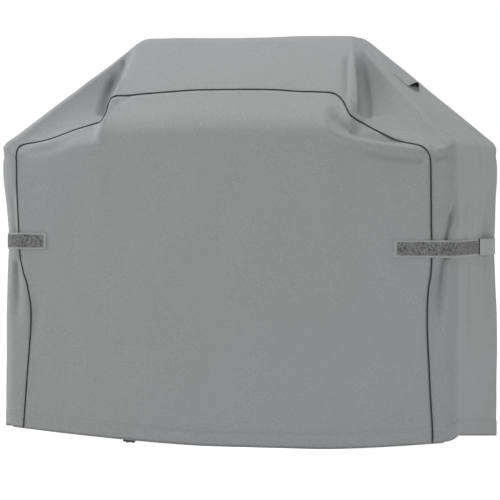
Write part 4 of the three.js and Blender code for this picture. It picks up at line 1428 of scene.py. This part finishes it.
# Outer half of a strip's section: (share of the half height, share of the thickness).
STRIP_SECTION = [
    (-1.0, 0.15), (-1.0, 0.75), (-0.985, 0.98), (-0.955, 1.08), (-0.90, 1.02), (-0.865, 0.72),
    (-0.83, 1.0), (-0.6, 1.05), (-0.3, 1.08), (0.0, 1.08), (0.3, 1.08), (0.6, 1.05), (0.83, 1.0),
    (0.865, 0.72), (0.90, 1.02), (0.955, 1.08), (0.985, 0.98), (1.0, 0.75), (1.0, 0.15),
    (0.97, 0.0), (0.5, 0.0), (0.0, 0.0), (-0.5, 0.0), (-0.97, 0.0),
]


def strip_object(name, side_name, s0, s1, low, height, thickness, material, body, steps, stand_off=None,
                 section=STRIP_SECTION, rough=0.0):
    """A flat sewn strip on edge round the corner, from s0 to s1 along the strap's path."""
    sign = SIDES[side_name]
    z = STRAP_Z[side_name]
    ease = thickness * 0.8
    s = np.concatenate([[s0, s0 + ease * 0.4], np.linspace(s0 + ease, s1 - ease, steps),
                        [s1 - ease * 0.4, s1]])
    swell = np.ones(len(s))
    swell[[0, -1]] = 0.35
    swell[[1, -2]] = 0.85
    share, part = np.array(section).T
    base = low + piping_lift(side_name, s) + (stand_off(s) if stand_off else 0)
    middle = thickness / 2
    out = base[:, None] + middle + (part[None, :] * thickness - middle) * swell[:, None]
    if rough:
        face = (part > 0.9)[None, :]
        out = out + face * rng.normal(0, rough, out.shape)
    tall = height / 2 * (1 - (1 - swell) * thickness / height)
    level = z + share[None, :] * tall[:, None]
    flat = strap_point(s[:, None], out)
    grid = np.concatenate([flat, level[..., None]], -1)
    grid[..., 0] *= sign
    grid = grid + draw_vector(grid)
    faces = grid_faces(*grid.shape[:2], close_cols=True, flip=sign > 0)
    count = grid.shape[1]
    last = (len(s) - 1) * count
    start_cap, end_cap = list(range(count)), list(range(last, last + count))
    faces.append(tuple(start_cap if sign > 0 else start_cap[::-1]))
    faces.append(tuple(end_cap[::-1] if sign > 0 else end_cap))
    around = arc_lengths(np.stack([share * height / 2, part * thickness], -1))
    uv = np.stack([s[:, None] * np.ones(count), around[None, :] * np.ones((len(s), 1))], -1)
    piece = make_object(name, grid.reshape(-1, 3), faces, material, uv.reshape(-1, 2))
    if body:
        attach(piece, body)
    return piece


TAPE_SECTION = [
    (-1.0, 0.1), (-1.0, 0.6), (-0.985, 0.9), *[(h, 1.0) for h in np.linspace(-0.95, 0.95, 27)],
    (0.985, 0.9), (1.0, 0.6), (1.0, 0.1), (0.97, 0.0), (0.5, 0.0), (0.0, 0.0), (-0.5, 0.0), (-0.97, 0.0),
]


def tab_bow(s):
    return TAB_BOW * np.sin(math.pi * np.clip((s - side_s(BASE_END_Y)) / 0.160, 0, 1)) ** 2


def tab_settle(s):
    return -3 * LAYER * smooth((s - side_s(BASE_END_Y + 0.090)) / 0.070)


def tab_rise(s):
    """How far a closed tab stands off the tape: a bow in its middle, and flat at its sewn end."""
    return tab_bow(s) + tab_settle(s)


def strip_stitches(name, side_name, s0, s1, low, height, body, stand_off=None):
    """Stitches round a strip, on its outer face."""
    sign = SIDES[side_name]
    inset = 0.0034
    half = height / 2 - inset
    s = np.linspace(s0 + inset, s1 - inset, 500)
    rows = [(s, np.full(len(s), half)), (s, np.full(len(s), -half))]
    rise = np.linspace(-half, half, 40)
    rows += [(np.full(40, s0 + inset), rise), (np.full(40, s1 - inset), rise)]
    for k, (run, rise) in enumerate(rows):
        out = low + piping_lift(side_name, run) + (stand_off(run) if stand_off else 0)
        flat = strap_point(run, out)
        line = np.concatenate([flat, (STRAP_Z[side_name] + rise)[:, None]], -1)
        line[:, 0] *= sign
        normals = footprint_normals(line)
        line = line + draw_vector(line)
        stitch_object(f"{name}_stitches_{k}", line, normals, body, 0.0038, 0.0028, 0.00034)


def build_strap(name):
    start = STRAP_FRONT_X[name] - STRAIGHT_X
    end = side_s(BASE_END_Y)
    base = strip_object(f"{name}_strap_webbing", name, start, end, GAP, STRAP_HEIGHT, WEBBING, LIT_STRAP_CANVAS,
                        "cover", 300)
    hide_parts(f"{name}_strap_base")
    strip_stitches(f"{name}_strap", name, start, end, GAP + 0.0011, STRAP_HEIGHT, "cover")
    tape = strip_object(f"{name}_loop_pile", name, start + TAPE_INSET, end - TAPE_INSET,
                        GAP + LAYER, TAPE_HEIGHT, PILE, LOOP, "cover", 420, None, TAPE_SECTION, 0.00018)
    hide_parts(f"{name}_loop_tape")

    body = f"{name}_strap_tab"
    free, root = side_s(TAB_FREE_Y), side_s(TAB_ROOT_Y)
    hook = strip_object(f"{name}_hook_pile", name, free + 0.004, free + 0.054, GAP + 2 * LAYER,
                        TAPE_HEIGHT, PILE, HOOK, body, 60, None, TAPE_SECTION, 0.00008)
    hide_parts(f"{name}_hook_tape")
    tab = strip_object(f"{name}_tab_cloth", name, free, root, GAP + 3 * LAYER, STRAP_HEIGHT, 0.0013,
                       LIT_STRAP_CANVAS, None, 260, tab_rise)
    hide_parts(f"{name}_tab")
    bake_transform(tab)
    strip_stitches(f"{name}_tab", name, free, root - 0.030, GAP + 3 * LAYER + 0.0012, STRAP_HEIGHT, body,
                   tab_rise)
    strip_object(f"{name}_tab_root", name, root - 0.002, root + 0.034, GAP, STRAP_HEIGHT, 0.0016,
                         LIT_STRAP_CANVAS, "cover", 30)
    strip_stitches(f"{name}_tab_root", name, root - 0.001, root + 0.033, GAP + 0.0015, STRAP_HEIGHT,
                   "cover")


# ---------------------------------------------------------------- build


front_cloth = build_panel(FRONT_LINE, "front_panel_cloth", "front_panel")
back_cloth = build_panel(BACK_LINE, "back_panel_cloth", "back_panel")
band_cloth = build_band()
build_piping(FRONT_LINE, "front_piping_cord", "front_piping")
build_piping(BACK_LINE, "back_piping_cord", "back_piping")
hem_cloth = build_hem()
build_eyelets()
build_cord()
build_lock()
for strap_side in SIDES:
    build_strap(strap_side)
    build_vent(strap_side)

# ---------------------------------------------------------------- stage, light and camera

STUDIO_GLOW = 1.0


def build_floor():
    """A wide white floor that glows a little, so that it stays white far away."""
    n = Nodes("white_floor")
    cloud = n.spread(n.noise(n.place(), 3.0, 2.0), 0.3, 0.7)
    n.set(color=n.mix(cloud, (0.29, 0.29, 0.29), (0.31, 0.31, 0.31)), rough=0.9, specular=0.0)
    n.shader.inputs["Emission Color"].default_value = (1, 1, 1, 1)
    n.shader.inputs["Emission Strength"].default_value = 0.98 * STUDIO_GLOW
    half = 60.0
    corners = [(-half, -half, -0.0005), (half, -half, -0.0005), (half, half, -0.0005),
               (-half, half, -0.0005)]
    make_object("floor", corners, [(0, 1, 2, 3)], n.material)


def build_world():
    """White near the horizon, where it is the background, and grey higher up."""
    world = bpy.data.worlds.new("studio")
    world.use_nodes = True
    tree = world.node_tree
    place = tree.nodes.new("ShaderNodeTexCoord")
    split = tree.nodes.new("ShaderNodeSeparateXYZ")
    fade = tree.nodes.new("ShaderNodeMapRange")
    for socket, value in (("From Min", 0.16), ("From Max", 0.40), ("To Min", 1.0), ("To Max", 0.22)):
        fade.inputs[socket].default_value = value * (STUDIO_GLOW if socket[:2] == "To" else 1)
    tree.links.new(place.outputs["Generated"], split.inputs[0])
    tree.links.new(split.outputs["Z"], fade.inputs["Value"])
    tree.links.new(fade.outputs["Result"], tree.nodes["Background"].inputs["Strength"])
    tree.nodes["Background"].inputs["Color"].default_value = (1, 1, 1, 1)
    bpy.context.scene.world = world


def area_light(name, place, aim, size, power, shade=(1, 1, 1)):
    data = bpy.data.lights.new(name, "AREA")
    data.shape = "RECTANGLE"
    data.size, data.size_y = size
    data.energy = power
    data.color = shade
    light = bpy.data.objects.new(name, data)
    light.location = place
    direction = Vector(aim) - Vector(place)
    light.rotation_euler = direction.to_track_quat("-Z", "Y").to_euler()
    bpy.context.scene.collection.objects.link(light)


def build_camera():
    """Level with the middle of the cover, a little to its right, through a long lens."""
    turn, tip, reach, height = math.radians(16.764), math.radians(1.0), 8.5, 0.7231
    stand = math.radians(16.7)
    data = bpy.data.cameras.new("camera")
    data.sensor_width = 36
    data.lens = 200.8
    data.clip_end = 60
    camera = bpy.data.objects.new("camera", data)
    camera.location = (reach * math.sin(stand), -reach * math.cos(stand), height)
    camera.rotation_euler = (math.pi / 2 - tip, 0, turn)
    bpy.context.scene.collection.objects.link(camera)
    bpy.context.scene.camera = camera


def build_light():
    area_light("top", (0, 0, 8.7), (0, 0, 0.7), (3.0, 3.0), 740)
    area_light("left_front", (-4.8, -5.6, 3.9), (0, 0, 0.7), (3.0, 3.0), 270)
    area_light("left", (-8.0, -1.6, 3.1), (0, 0, 0.7), (3.0, 3.0), 400)
    area_light("right", (8.0, -1.6, 1.5), (0, 0, 0.7), (3.0, 3.0), 210)
    bpy.context.scene.view_settings.view_transform = "Standard"


build_camera()
build_world()
build_light()
build_floor()
